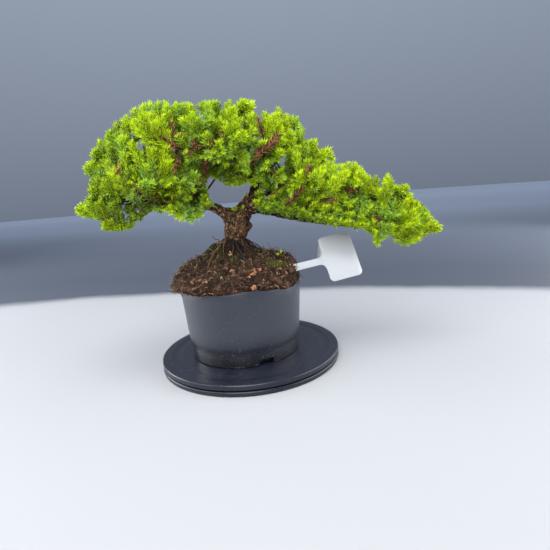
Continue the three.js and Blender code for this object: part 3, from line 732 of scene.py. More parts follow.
def make_pot():
    turn = 2 * np.pi * np.arange(POT_SIDES) / POT_SIDES
    # The rim was cut by hand, so it runs in short straight snips with a burr
    cut = rim_height(np.degrees(turn)) + 0.25 * np.sin(9.0 * turn + 1.0) + 0.18 * np.sin(23.0 * turn)

    def ring(radius, height):
        r = np.broadcast_to(radius, POT_SIDES)
        z = np.broadcast_to(height, POT_SIDES)
        return np.stack([POT_AT[0] + r * np.cos(turn), POT_AT[1] + r * np.sin(turn), z], axis=1)

    inside, wall_start = POT_FOOT_RADIUS - POT_WALL, POT_SHOULDER_TOP + 8
    outer = [
        (AXIS, POT_BASE + POT_FLOOR),
        (inside, POT_BASE + POT_FLOOR, 0.8),
        (inside, POT_BASE, 0.4),
        (POT_FOOT_RADIUS, POT_BASE, 1.2),
        (POT_STEP_RADIUS, POT_STEP_TOP - 2.4, 4.0),
        (POT_SHOULDER_RADIUS, POT_SHOULDER_TOP + 1.6, 4.0),
        (pot_radius(wall_start), wall_start),
    ]
    rings = [ring(r, z) for r, z in rounded(outer, 4)]
    for part in (0.3, 0.6, 0.85):
        z = mix(wall_start, cut, part)
        rings.append(ring(pot_radius(z), z))
    rings += [ring(pot_radius(cut) - inset, cut - drop) for inset, drop in POT_LIP]
    rings += [
        ring(POT_SHOULDER_RADIUS - POT_WALL, POT_SHOULDER_TOP),
        ring(POT_STEP_RADIUS - POT_WALL, POT_STEP_TOP),
        ring(inside, POT_BASE + POT_FLOOR_TOP),
        ring(AXIS, POT_BASE + POT_FLOOR_TOP),
    ]
    verts, tris = closed_skin(rings)
    pot = make_object("pot_shell", verts, tris, [POT_PLASTIC], None)
    turns = [math.radians(SLOT_TURN + 360 * i / SLOT_COUNT) for i in range(SLOT_COUNT)]
    cutter = make_object("pot_cutter", *joined([slot_cutter(t) for t in turns]), [POT_PLASTIC], None)
    modifier = pot.modifiers.new("slots", "BOOLEAN")
    modifier.operation, modifier.object, modifier.solver = "DIFFERENCE", cutter, "EXACT"
    bake_modifiers(pot)
    bpy.data.objects.remove(cutter)
    sharpen(pot, 34)
    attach(pot, TURNING)
    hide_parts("pot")


def bake_modifiers(piece):
    """The object's evaluated mesh takes the place of its mesh, and its modifiers go."""
    bpy.context.view_layer.update()
    done = bpy.data.meshes.new_from_object(piece.evaluated_get(bpy.context.evaluated_depsgraph_get()))
    piece.modifiers.clear()
    piece.data = done


LABEL_HEAD_LENGTH = 59.0
LABEL_HEAD_WIDTH = 47.0
LABEL_CORNER = 6.0
LABEL_STAKE_WIDTH = 9.0
LABEL_STAKE_LENGTH = 55.0
LABEL_THICKNESS = 1.0
LABEL_NECK = 9.0
LABEL_CENTRE = np.array([124.0, -4.0, 122.4])
LABEL_ALONG = np.array([48.0, 14.0, 4.6])
LABEL_UP = np.array([-10.0, 22.0, 53.0])
# The plate's rounded edge: how far in, and how far up from a face
LABEL_EDGE = [(0.24, 0.0), (0.07, 0.09), (0.0, 0.28)]


def label_outline():
    half, side, stake = LABEL_HEAD_LENGTH / 2, LABEL_HEAD_WIDTH / 2, LABEL_STAKE_WIDTH / 2
    tip = -side - LABEL_STAKE_LENGTH

    def corner(x, y, start):
        a = np.radians(start + np.linspace(0, 90, 9))
        return np.stack([x + LABEL_CORNER * np.cos(a), y + LABEL_CORNER * np.sin(a)], axis=1)

    def neck(sign):
        points = [(-side - LABEL_NECK, stake), (-side, stake), (-side, LABEL_NECK + stake)]
        line = bezier(*(np.array([x, sign * y]) for x, y in points), 10)
        return line if sign < 0 else line[::-1]

    return np.vstack(
        [
            [[tip, 0.8], [tip, -0.8], [tip + LABEL_STAKE_WIDTH, -stake]],
            neck(-1),
            corner(-side + LABEL_CORNER, -half + LABEL_CORNER, 180),
            corner(side - LABEL_CORNER, -half + LABEL_CORNER, 270),
            corner(side - LABEL_CORNER, half - LABEL_CORNER, 0),
            corner(-side + LABEL_CORNER, half - LABEL_CORNER, 90),
            neck(1),
            [[tip + LABEL_STAKE_WIDTH, stake]],
        ]
    )


def make_label():
    outline = label_outline()
    before, after = np.roll(outline, 1, axis=0), np.roll(outline, -1, axis=0)
    tangent = unit(after - before)
    inward = np.stack([-tangent[:, 1], tangent[:, 0]], axis=1)
    along = unit(LABEL_ALONG)
    face = unit(np.cross(along, LABEL_UP))
    up = np.cross(face, along)
    half = LABEL_THICKNESS / 2
    edge = [(inset, -half + rise) for inset, rise in LABEL_EDGE]
    edge += [(inset, half - rise) for inset, rise in reversed(LABEL_EDGE)]
    shape = bmesh.new()
    rings = []
    for inset, height in edge:
        flat = outline + inward * inset
        points = LABEL_CENTRE + flat[:, :1] * along + flat[:, 1:] * up + height * face
        rings.append([shape.verts.new(Vector(p) * MM) for p in points])
    for low, high in zip(rings, rings[1:]):
        for i in range(len(low)):
            n = (i + 1) % len(low)
            shape.faces.new((low[i], low[n], high[n], high[i]))
    shape.faces.new(rings[-1])
    shape.faces.new(rings[0][::-1])
    bmesh.ops.triangulate(shape, faces=[f for f in shape.faces if len(f.verts) > 4])
    bmesh.ops.recalc_face_normals(shape, faces=shape.faces)
    mesh = bpy.data.meshes.new("label_plate")
    shape.to_mesh(mesh)
    shape.free()
    mesh.materials.append(LABEL_PLASTIC)
    piece = bpy.data.objects.new("label_plate", mesh)
    bpy.context.scene.collection.objects.link(piece)
    mesh.polygons.foreach_set("use_smooth", [True] * len(mesh.polygons))
    sharpen(piece, 50)
    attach(piece, TURNING)
    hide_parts("plant_label")


make_turntable()
make_pot()
make_label()

# ---- root ball

SOIL_SHOULDER = 22.0
SOIL_MOUND_HEIGHT = 25.0
SOIL_MOUND_SPREAD = 50.0
SOIL_MOUND_X = -12.0
SOIL_SLOPE = 0.05
SOIL_FRONT_FALL = 0.2
SOIL_OVERHANG = 10.0
SOIL_OVERHANG_TURN = 187.0
SOIL_ROUGHNESS = 1.3
SOIL_SPOKES = 288
SOIL_STEPS = 9
SOIL_FLOOR = 4.9
# Roughness of the skin: height, size and seed
SOIL_LUMPS = [(1.5, 13.0, 3), (1.35, 3.6, 5)]


def soil_height(x, y):
    """Height of the root ball's top over a point measured from the pot's axis."""
    from_top = np.hypot(x - SOIL_MOUND_X, y)
    mound = SOIL_MOUND_HEIGHT * np.exp(-((from_top / SOIL_MOUND_SPREAD) ** 2))
    clods = np.sin(0.31 * x + 1.3) * np.cos(0.27 * y - 0.4) + 0.6 * np.sin(0.53 * y + 0.2 * x)
    slope = SOIL_SLOPE * x + SOIL_FRONT_FALL * np.minimum(0, y)
    return POT_RIM_NOMINAL + SOIL_SHOULDER + mound + slope + SOIL_ROUGHNESS * clods


def soil_profile():
    """Rings of the root ball from the pot's floor to the top, as radius and height by angle."""
    turn = 2 * np.pi * np.arange(SOIL_SPOKES) / SOIL_SPOKES
    spoke = turn / (2 * np.pi) * 26
    lump = 1.2 * np.sin(2.3 * spoke) + 0.9 * np.cos(3.7 * spoke)
    lump = lump * np.sin(turn / 2) ** 0.25
    overhang = SOIL_OVERHANG * np.maximum(0, np.cos(turn - math.radians(SOIL_OVERHANG_TURN))) ** 3
    rim = rim_height(np.degrees(turn))
    inside = POT_WALL + 0.35
    neck = POT_RIM_RADIUS - inside - 0.4
    top_radius = neck - 3 + 0.7 * overhang

    def height_at(radius):
        return soil_height(radius * np.cos(turn), radius * np.sin(turn))

    edge = neck - 1 + overhang + lump
    rows = [
        (neck - 2.2, rim - 14.0),
        (neck - 0.6, rim - 6.0),
        (neck, rim + 0.8),
        (neck + overhang + 0.4 * lump, rim + 2.2),
        (edge, mix(rim, height_at(edge), 0.6)),
    ]
    for part, push in ((0.93, 0.5), (0.74, 0.0), (0.52, 0.0), (0.3, 0.0), (0.1, 0.0)):
        radius = part * top_radius + push * lump
        rows.append((radius, height_at(radius)))
    return turn, np.array([[np.broadcast_to(v, SOIL_SPOKES) for v in row] for row in rows]).transpose(0, 2, 1)


# Patches of moss on the top: place from the pot's axis and reach
MOSS_PATCHES = [(-26, -19, 12), (-34, -6, 11), (-6, -29, 8), (49, -30, 13), (36, -22, 9), (24, 16, 17)]
MOSS_PATCHES += [(-30, 24, 18), (2, 42, 14)]


def moss_at(points, lowest):
    """How mossy the root ball is at each point, from 0 to 1."""
    x, y = points[:, 0] - POT_AT[0], points[:, 1] - POT_AT[1]
    near = sum(np.exp(-((np.hypot(x - a, y - b) / reach) ** 2)) for a, b, reach in MOSS_PATCHES)
    return np.clip(near + 0.45 * fractal(points, 9.0, 21, 2) - lowest, 0, 1)


def make_soil():
    """The root ball with its rough skin; gives back the points and normals of its smooth skin."""
    turn, rows = soil_profile()
    fine = smooth_line(rows.reshape(len(rows), -1), SOIL_STEPS).reshape(-1, SOIL_SPOKES, 2)
    radius, height = fine[..., 0], fine[..., 1]
    x, y = POT_AT[0] + radius * np.cos(turn), POT_AT[1] + radius * np.sin(turn)
    points = np.stack([x, y, height], axis=-1)
    du = np.roll(points, -1, axis=1) - np.roll(points, 1, axis=1)
    dv = np.gradient(points, axis=0)
    normal = unit(np.cross(du, dv))
    flat = points.reshape(-1, 3)
    rough = sum(rise * fractal(flat, size, seed, 2) for rise, size, seed in SOIL_LUMPS)
    crumbs = np.abs(fractal(flat, 5.0, 8, 2))
    over_rim = height.reshape(-1) - rim_height(np.degrees(np.tile(turn, len(fine))))
    lift = np.clip((over_rim - 0.6) / 3.0, 0, 1) * (rough + 1.1 * (crumbs - 0.35))
    flat = flat + normal.reshape(-1, 3) * lift[:, None]
    gap = POT_WALL + 0.5
    floor = [(60.0, POT_BASE + SOIL_FLOOR), (POT_FOOT_RADIUS - gap, POT_BASE + SOIL_FLOOR)]
    floor += [(POT_STEP_RADIUS - gap, POT_STEP_TOP)]
    rings = np.concatenate([np.array(lathe(floor, SOIL_SPOKES, POT_AT)), flat.reshape(points.shape)])
    verts, tris = closed_skin(rings)
    centre = verts[tris].mean(axis=1)
    x, y = centre[:, 0] - POT_AT[0], centre[:, 1] - POT_AT[1]
    top = smoothstep(centre[:, 2], 117.0, 126.0)
    moss = moss_at(centre, 0.1) * 0.8 * top
    # Painted shade round the trunk's foot on the top, and low down in the pot
    under_trunk = np.exp(-((np.hypot(x + 3, y - 3) / 38.0) ** 2)) * 0.9 * top
    humus = np.maximum(under_trunk, smoothstep(centre[:, 2], 70.0, 50.0))
    numbers = {"moss": moss, "humus": humus}
    piece = make_object("root_ball_soil", verts, tris, [SOIL], TURNING, numbers=numbers)
    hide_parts("root_ball")
    return points, normal


SOIL_POINTS, SOIL_NORMALS = make_soil()
# Counts of the small things on the root ball, and the seed that places them
DRESSING_SEED = 31
THREAD_COUNT = 2500
FIBRE_COUNT = 120
CRUMB_COUNT = 1500
CHIP_COUNT = 40
TUFT_COUNT = 1300
TUFT_TRIALS = 9000
# Parts of the skin's rows, from the pot's floor to the middle of the top, that each kind lies on
THREAD_ROWS = (0.30, 0.93)
FIBRE_ROWS = (0.32, 0.62)
CRUMB_ROWS = (0.32, 0.97)
CHIP_ROWS = (0.42, 0.9)
TUFT_ROWS = (0.5, 0.985)
CHIP_CORNERS = [(x, y, z) for z in (-1, 1) for x, y in ((-1, -1), (1, -1), (1, 1), (-1, 1))]
CHIP_FACES = [(0, 2, 1), (0, 3, 2), (4, 5, 6), (4, 6, 7), (0, 1, 5), (0, 5, 4)]
CHIP_FACES += [(1, 2, 6), (1, 6, 5), (2, 3, 7), (2, 7, 6), (3, 0, 4), (3, 4, 7)]
# The chips that show best: place and size
SHOWN_CHIPS = [
    ((11, -62, 130), 7.5),
    ((14, -58, 133), 6.5),
    ((8, -64, 128), 8.0),
    ((3, -66, 127), 6.0),
    ((18, -55, 134), 5.5),
    ((46, -30, 140), 5.0),
    ((-60, -50, 118), 6.0),
    ((-52, -56, 120), 5.0),
]
# Grass: foot, and from it the bend and the tip
BLADES = [
    ((-30, -24, 143), (1, -1, 16), (3, -3, 18)),
    ((-23, -26, 141), (1, -2, 17), (5, -6, 17)),
    ((-34, -20, 142), (-3, -3, 9), (-8, -8, 7)),
    ((-28, -30, 138), (0, -4, 8), (-3, -10, -2)),
    ((-17, -29, 141), (2, -4, 9), (4, -12, 0)),
    ((-38, -16, 140), (-4, -2, 5), (-10, -8, 1)),
    ((27, -12, 137), (2, -3, 4), (5, -6, 4)),
]
THREAD_STOPS = [
    (0.0, (0.014, 0.006, 0.003)),
    (0.45, (0.066, 0.027, 0.015)),
    (0.8, (0.20, 0.10, 0.056)),
    (1.0, (0.52, 0.35, 0.22)),
]
FIBRE_STOPS = [(0.0, (0.25, 0.18, 0.10)), (1.0, (0.55, 0.46, 0.31))]
CRUMB_STOPS = [
    (0.0, (0.008, 0.005, 0.004)),
    (0.6, (0.036, 0.021, 0.014)),
    (0.9, (0.12, 0.070, 0.045)),
    (1.0, (0.38, 0.31, 0.24)),
]
CHIP_STOPS = [(0.0, (0.13, 0.052, 0.024)), (0.6, (0.34, 0.135, 0.055)), (1.0, (0.52, 0.24, 0.11))]
MOSS_STOPS = [
    (0.0, (0.030, 0.040, 0.006)),
    (0.5, (0.085, 0.105, 0.010)),
    (0.85, (0.20, 0.21, 0.02)),
    (1.0, (0.36, 0.31, 0.045)),
]
GRASS_STOPS = [(0.0, (0.10, 0.20, 0.02)), (0.5, (0.22, 0.34, 0.04)), (1.0, (0.45, 0.44, 0.12))]


def surface_spots(rng, many, rows):
    """Random places on the root ball's skin, between two parts of its rows, with the way out at each."""
    row = rng.uniform(rows[0] * len(SOIL_POINTS), rows[1] * len(SOIL_POINTS), many).astype(int)
    spoke = rng.integers(0, SOIL_SPOKES, many)
    return SOIL_POINTS[row, spoke], SOIL_NORMALS[row, spoke]


def chip_piece(name, spots, normals, sizes, rng, flat, look):
    """Irregular closed chips: eight corners jittered, lying on the surface, each with its own shade."""
    many = len(spots)
    a = unit(np.cross(normals, unit(rng.normal(size=(many, 3)))))
    b = np.cross(normals, a)
    corners = np.array(CHIP_CORNERS, float)[None] * rng.uniform(0.55, 1.25, (many, 8, 3))
    half = sizes * 0.5
    scale = np.stack([half, half * rng.uniform(0.5, 0.9, many), half * rng.uniform(*flat, many)], axis=1)
    local = corners * scale[:, None]
    verts = spots[:, None] + local[..., :1] * a[:, None] + local[..., 1:2] * b[:, None]
    verts = (verts + local[..., 2:] * normals[:, None]).reshape(-1, 3)
    faces = (np.array(CHIP_FACES)[None] + (np.arange(many) * 8)[:, None, None]).reshape(-1, 3)
    shade = np.repeat(rng.uniform(0, 1, many), len(CHIP_FACES))
    piece = make_object(name, verts, faces, [look], TURNING, smooth=False, numbers={"rnd": shade})


def thread_piece(name, lines, radii, sides, stops, rng, roughness=0.85, flat=1.0, smooth=True):
    """Many thin threads as one piece, each with its own shade."""
    verts, tris, cells, per = tubes(lines, radii, sides, flat)
    shade = np.repeat(rng.uniform(0, 1, len(lines)), per)
    look = tinted(name, stops, 400.0, roughness)
    uv = cell_map(cells, len(lines), 0, 1)
    piece = make_object(name, verts, tris, [look], TURNING, numbers={"rnd": shade}, uv=uv, smooth=smooth)


def wander(start, heading, lengths, steps, rng, curl):
    """Random smooth threads from each start, which set out along its heading."""
    many = len(start)
    lines = np.zeros((many, steps, 3))
    lines[:, 0] = start
    direction = unit(heading)
    turn = unit(rng.normal(size=(many, 3)))
    for k in range(1, steps):
        turn = unit(turn + 0.6 * rng.normal(size=(many, 3)))
        direction = unit(direction + curl * turn)
        lines[:, k] = lines[:, k - 1] + direction * (lengths / (steps - 1))[:, None]
    return lines


def make_root_threads(rng):
    """Root threads that lie in the cut face and on the top, fewer under the trunk."""
    many = THREAD_COUNT
    spots, normals = surface_spots(rng, many, THREAD_ROWS)
    side = unit(np.cross(normals, unit(rng.normal(size=(many, 3)))))
    lengths = rng.uniform(2.5, 9, many) * np.where(rng.uniform(size=many) < 0.14, 2.0, 1.0)
    start = spots - side * lengths[:, None] * 0.5 + normals * 0.8
    lines = wander(start, side + 0.3 * rng.normal(size=(many, 1)) * normals, lengths, 5, rng, 0.42)
    arch = np.sin(np.linspace(0, np.pi, 5))[None, :, None] * normals[:, None]
    lines = lines + arch * rng.uniform(0.2, 1.9, many)[:, None, None]
    lines = lines - normals[:, None] * np.array([1.5, 0.2, 0, 0.2, 1.5])[None, :, None]
    radii = rng.uniform(0.13, 0.36, many)[:, None] * np.array([0.7, 1, 1, 0.85, 0.4])
    bare = np.hypot(spots[:, 0] + 8.0, spots[:, 1] + 8.0) < rng.uniform(20.0, 36.0, many)
    thread_piece("root_threads", lines[~bare], radii[~bare], 3, THREAD_STOPS, rng)


def make_dry_fibre(rng):
    """Dry fibre that stands out at the left edge and here and there."""
    many = FIBRE_COUNT
    left = rng.uniform(size=many) < 0.55
    angle = np.radians(np.where(left, rng.normal(187, 17, many), rng.uniform(0, 360, many)))
    spoke = (angle / (2 * np.pi) * SOIL_SPOKES).astype(int) % SOIL_SPOKES
    row = (rng.uniform(*FIBRE_ROWS, many) * len(SOIL_POINTS)).astype(int)
    spots, normals = SOIL_POINTS[row, spoke], SOIL_NORMALS[row, spoke]
    heading = normals + 0.7 * unit(rng.normal(size=(many, 3))) + [0, 0, 0.25]
    lines = wander(spots - normals * 1.0, heading, rng.uniform(4, 10, many), 6, rng, 0.35)
    radii = rng.uniform(0.1, 0.22, many)[:, None] * np.linspace(1, 0.35, 6)
    thread_piece("dry_fibre", lines, radii, 3, FIBRE_STOPS, rng)


def make_crumbs(rng):
    """Crumbs of peat and grit."""
    spots, normals = surface_spots(rng, CRUMB_COUNT, CRUMB_ROWS)
    sizes = rng.uniform(0.9, 2.6, CRUMB_COUNT) * rng.uniform(0.6, 1.0, CRUMB_COUNT)
    look = tinted("peat_crumbs", CRUMB_STOPS, 500.0, 0.95, 0.1)
    chip_piece("peat_crumbs", spots + normals * 0.35, normals, sizes, rng, (0.5, 1.0), look)


def make_chips(rng):
    """Chips of orange bark on the top and in the cut face."""
    spots, normals = surface_spots(rng, CHIP_COUNT, CHIP_ROWS)
    skin, outward = SOIL_POINTS.reshape(-1, 3), SOIL_NORMALS.reshape(-1, 3)
    sizes = rng.uniform(3.0, 6.5, CHIP_COUNT)
    for i, (place, size) in enumerate(SHOWN_CHIPS):
        k = int(np.linalg.norm(skin - place, axis=1).argmin())
        spots[i], normals[i], sizes[i] = skin[k], outward[k], size
    tilted = unit(normals + 0.35 * rng.normal(size=(CHIP_COUNT, 3)))
    look = tinted("bark_chips", CHIP_STOPS, 300.0, 0.85)
    chip_piece("bark_chips", spots + normals * 0.6, tilted, sizes, rng, (0.14, 0.3), look)


def make_moss(rng):
    """Short tufts in patches round the trunk and at the right."""
    many = TUFT_COUNT
    spots, normals = surface_spots(rng, TUFT_TRIALS, TUFT_ROWS)
    keep = np.argsort(-(moss_at(spots, 0.0) + 0.3 * rng.uniform(size=len(spots))))[:many]
    spots, normals = spots[keep], normals[keep]
    heading = unit(normals + 0.55 * rng.normal(size=(many, 3)) + [0, 0, 0.3])
    rise = np.array([0.0, 0.5, 1.0])[None, :, None] * rng.uniform(0.9, 2.2, many)[:, None, None]
    lines = (spots - normals * 0.2)[:, None] + heading[:, None] * rise
    radii = rng.uniform(0.24, 0.42, many)[:, None] * np.array([0.75, 1.0, 0.25])
    thread_piece("moss_tufts", lines, radii, 3, MOSS_STOPS, rng, 0.8, smooth=False)


def make_grass(rng):
    """A few long grass blades before the trunk, bent over."""
    blades = np.array(BLADES, float)
    lines = np.array([bezier(foot, foot + bend, foot + tip, 8) for foot, bend, tip in blades])
    radii = np.array([0.5] * 6 + [0.3])[:, None] * np.array([0.7, 1, 1, 1, 0.95, 0.8, 0.6, 0.2])
    thread_piece("grass_blades", lines, radii, 4, GRASS_STOPS, rng, 0.5, flat=0.32)


def make_soil_dressing():
    rng = np.random.default_rng(DRESSING_SEED)
    for make in (make_root_threads, make_dry_fibre, make_crumbs, make_chips, make_moss, make_grass):
        make(rng)


make_soil_dressing()

# ---- trunk, limbs and roots

# Points of the trunk, limbs and roots, each with its radius
TRUNK = [
    (-9, -1, 112, 10),
    (-9, -1, 136, 12),
    (-9, -1, 148, 11.5),
    (-8, -0.5, 158, 12),
    (-5, 0, 168, 14.5),
    (-2, 0, 178, 16),
    (4, 0, 187, 13),
    (11, 1, 195.5, 10.5),
    (17.5, 2, 203.5, 8.4),
    (21.5, 3, 212, 6.4),
    (24, 4, 224, 5.2),
]
BURL_AT = np.array([5.5, -4, 170.5])
BURL_RADIUS = 8.2
BURL_RINGS = 12
BURL_SIDES = 20
HOLLOW_AT = np.array([9.6, -10.6, 172.9])
HOLLOW_DEPTH = 6.0
HOLLOW_LIP = 1.3
SCAR_AT = np.array([2.0, -16.5, 168.5])
SCAR_SIZE = np.array([5.0, 6.0, 5.0])
# The place on the burl where the bark has come off
FRESH_BARK_AT = np.array([3.5, -14, 170])
FRESH_BARK_SIZE = np.array([9, 9, 8.5])
LIMBS = {
    "left": [(-6, 0, 180, 11), (-17, -1, 189, 7.6), (-30, -2, 195.5, 5.6), (-44, -4, 200, 4.4), (-72, -7, 208, 3.5)]
    + [(-105, -9, 214, 2.7), (-138, -10, 212, 2), (-166, -11, 207, 1.3)],
    "left_front": [(-48, -5, 201, 3.2), (-66, -24, 203, 2.4), (-86, -42, 206, 1.8), (-104, -54, 212, 1.2)],
    "left_back": [(-54, -5, 203, 3), (-78, 16, 212, 2.4), (-106, 34, 222, 1.8), (-130, 44, 232, 1.2)],
    "left_rise": [(-76, -7, 209, 2.6), (-96, -4, 228, 2.1), (-118, -2, 248, 1.7), (-134, 0, 264, 1.2)],
    "left_low": [(-88, -8, 211, 1.8), (-108, -16, 196, 1.5), (-128, -19, 187, 1.2)],
    "dome_left": [(23.5, 4, 220, 4), (6, 0, 238, 3.4), (-22, -4, 253, 2.9), (-54, -6, 268, 2.4), (-82, -6, 283, 1.8)]
    + [(-104, -4, 294, 1.2)],
    "dome_back": [(24, 4, 222, 3.4), (4, 24, 244, 2.8), (-30, 40, 258, 2.2), (-66, 48, 268, 1.3)],
    "dome_front": [(14, 1, 230, 3), (-2, -22, 244, 2.2), (-30, -42, 256, 1.8), (-60, -50, 264, 1.2)],
    "dome_top": [(23, 4, 226, 4), (16, 3, 250, 3), (0, 4, 274, 2.2), (-10, 6, 294, 1.3)],
    "right_top": [(23.5, 4, 222, 4.2), (36, 2, 241, 3.2), (50, 0, 261, 2.4), (61, 0, 282, 1.3)],
    "right_back": [(34, 3, 238, 2.4), (44, 24, 252, 1.9), (48, 42, 266, 1.2)],
    "right_front": [(30, 0, 232, 2.4), (34, -20, 246, 1.9), (36, -38, 258, 1.2)],
    "shoulder": [(20, 2, 206, 3.6), (42, -2, 210, 3), (66, -4, 219, 2.4), (86, -4, 232, 1.9), (98, -3, 248, 1.2)],
    "right": [(8, 0, 190, 8), (24, -2, 191, 6), (36, -3, 186.5, 5), (70, -5, 176.5, 4), (106, -6, 168, 3.3)]
    + [(134, -6, 162.5, 2.8), (168, -6, 156, 2.2), (204, -5, 151, 1.6), (232, -4, 150, 1.2)],
    "right_low_front": [(56, -5, 180, 2.8), (78, -24, 188, 2.2), (98, -36, 198, 1.2)],
    "right_low_back": [(70, -5, 177, 2.8), (92, 18, 188, 2.2), (114, 34, 200, 1.2)],
    "tail_rise": [(108, -6, 168, 2.6), (122, -6, 188, 2), (132, -6, 208, 1.2)],
    "tail_front": [(140, -6, 161.5, 2.2), (158, -22, 172, 1.7), (174, -30, 184, 1.1)],
    "tail_back": [(150, -6, 160, 2.2), (170, 12, 172, 1.7), (188, 22, 186, 1.1)],
}
ROOTS = {
    "arch_left": [(-14, -6, 150, 3), (-26, -12, 155, 2), (-37, -17, 150, 1.7), (-44, -22, 134, 1.3)]
    + [(-47, -24, 122, 1)],
    "arch_right": [(0, -8, 150, 2.8), (9, -14, 144, 1.9), (16, -18, 134, 1.6), (20, -21, 120, 1.3)],
    "flare_front": [(-10, -8, 146, 4.6), (-12, -17, 137, 3), (-14, -26, 124, 2)],
    "flare_back": [(-8, 8, 146, 5), (-6, 18, 137, 3.2), (-4, 28, 124, 2)],
    "flare_left": [(-16, 2, 146, 4.4), (-27, 6, 138, 2.8), (-38, 10, 122, 1.8)],
    "flare_right": [(-1, 2, 146, 4.4), (10, 6, 139, 2.8), (22, 10, 124, 1.8)],
}
WOOD_VOXEL = 0.85
LIMB_STEPS = 7


def limb_line(points, wobble, seed):
    """A limb's fine line with radii, with small kinks as of old growth."""
    fine = smooth_line(points, LIMB_STEPS)
    length = line_lengths(fine[:, :3])
    fade = np.minimum(1.0, np.minimum(length, length[-1] - length) / 12.0)
    for k in range(3):
        wave = [noise.noise(Vector((s / 13.0, seed * 3.3 + k * 17.0, 0.5))) for s in length]
        fine[:, k] += wobble * fade * np.array(wave)
    knuckle = [noise.noise(Vector((s / 7.0, seed * 5.1, 9.5))) for s in length]
    fine[:, 3] *= 1.0 + 0.16 * np.array(knuckle)
    return fine


def wood_lines():
    lines = [("trunk", limb_line(TRUNK, 0.6, 1))]
    for i, (name, points) in enumerate(LIMBS.items()):
        lines.append((name, limb_line(points, 1.3, 2 + i)))
    for i, (name, points) in enumerate(ROOTS.items()):
        lines.append((name, limb_line(points, 1.6, 40 + i)))
    return lines


WOOD_LINES = wood_lines()


def wood_frames(verts):
    """For each vertex the nearest limb: place along it, angle round it, its radius and its index."""
    pieces = []
    for k, (_, line) in enumerate(WOOD_LINES):
        length = line_lengths(line[:, :3])
        side = across_of(unit(line[-1, :3] - line[0, :3]))
        for i in range(len(line) - 1):
            pieces.append((line[i, :3], line[i + 1, :3], (line[i, 3] + line[i + 1, 3]) / 2, length[i], k, side))
    starts, ends, radii, along, owner, across = (np.array(column) for column in zip(*pieces))
    spans = ends - starts
    lengths = np.linalg.norm(spans, axis=1)
    out_s, out_t, out_r, out_k = [], [], [], []
    for block in np.array_split(verts, max(1, len(verts) // 6000)):
        rel = block[:, None] - starts[None]
        t = np.clip(np.einsum("vsk,sk->vs", rel, spans) / lengths**2, 0, 1)
        off = rel - t[..., None] * spans[None]
        distance = np.linalg.norm(off, axis=2) - radii[None]
        best = distance.argmin(axis=1)
        rows = np.arange(len(block))
        tangent = spans[best] / lengths[best, None]
        side = unit(across[best] - np.sum(across[best] * tangent, axis=1, keepdims=True) * tangent)
        up = np.cross(tangent, side)
        o = off[rows, best]
        out_t.append(np.arctan2(np.sum(o * up, axis=1), np.sum(o * side, axis=1)))
        out_s.append(along[best] + t[rows, best] * lengths[best])
        out_r.append(radii[best])
        out_k.append(owner[best])
    return tuple(np.concatenate(v) for v in (out_s, out_t, out_r, out_k))


def burl_ball():
    """A ball with small caps that is pressed into the trunk as its burl."""
    turn = 2 * np.pi * np.arange(BURL_SIDES) / BURL_SIDES
    rings = []
    for a in np.linspace(0.12, math.pi - 0.12, BURL_RINGS):
        level = np.full(BURL_SIDES, -np.cos(a))
        ring = np.stack([np.sin(a) * np.cos(turn), np.sin(a) * np.sin(turn), level], axis=1)
        rings.append(BURL_AT + BURL_RADIUS * ring)
    return closed_skin(rings)


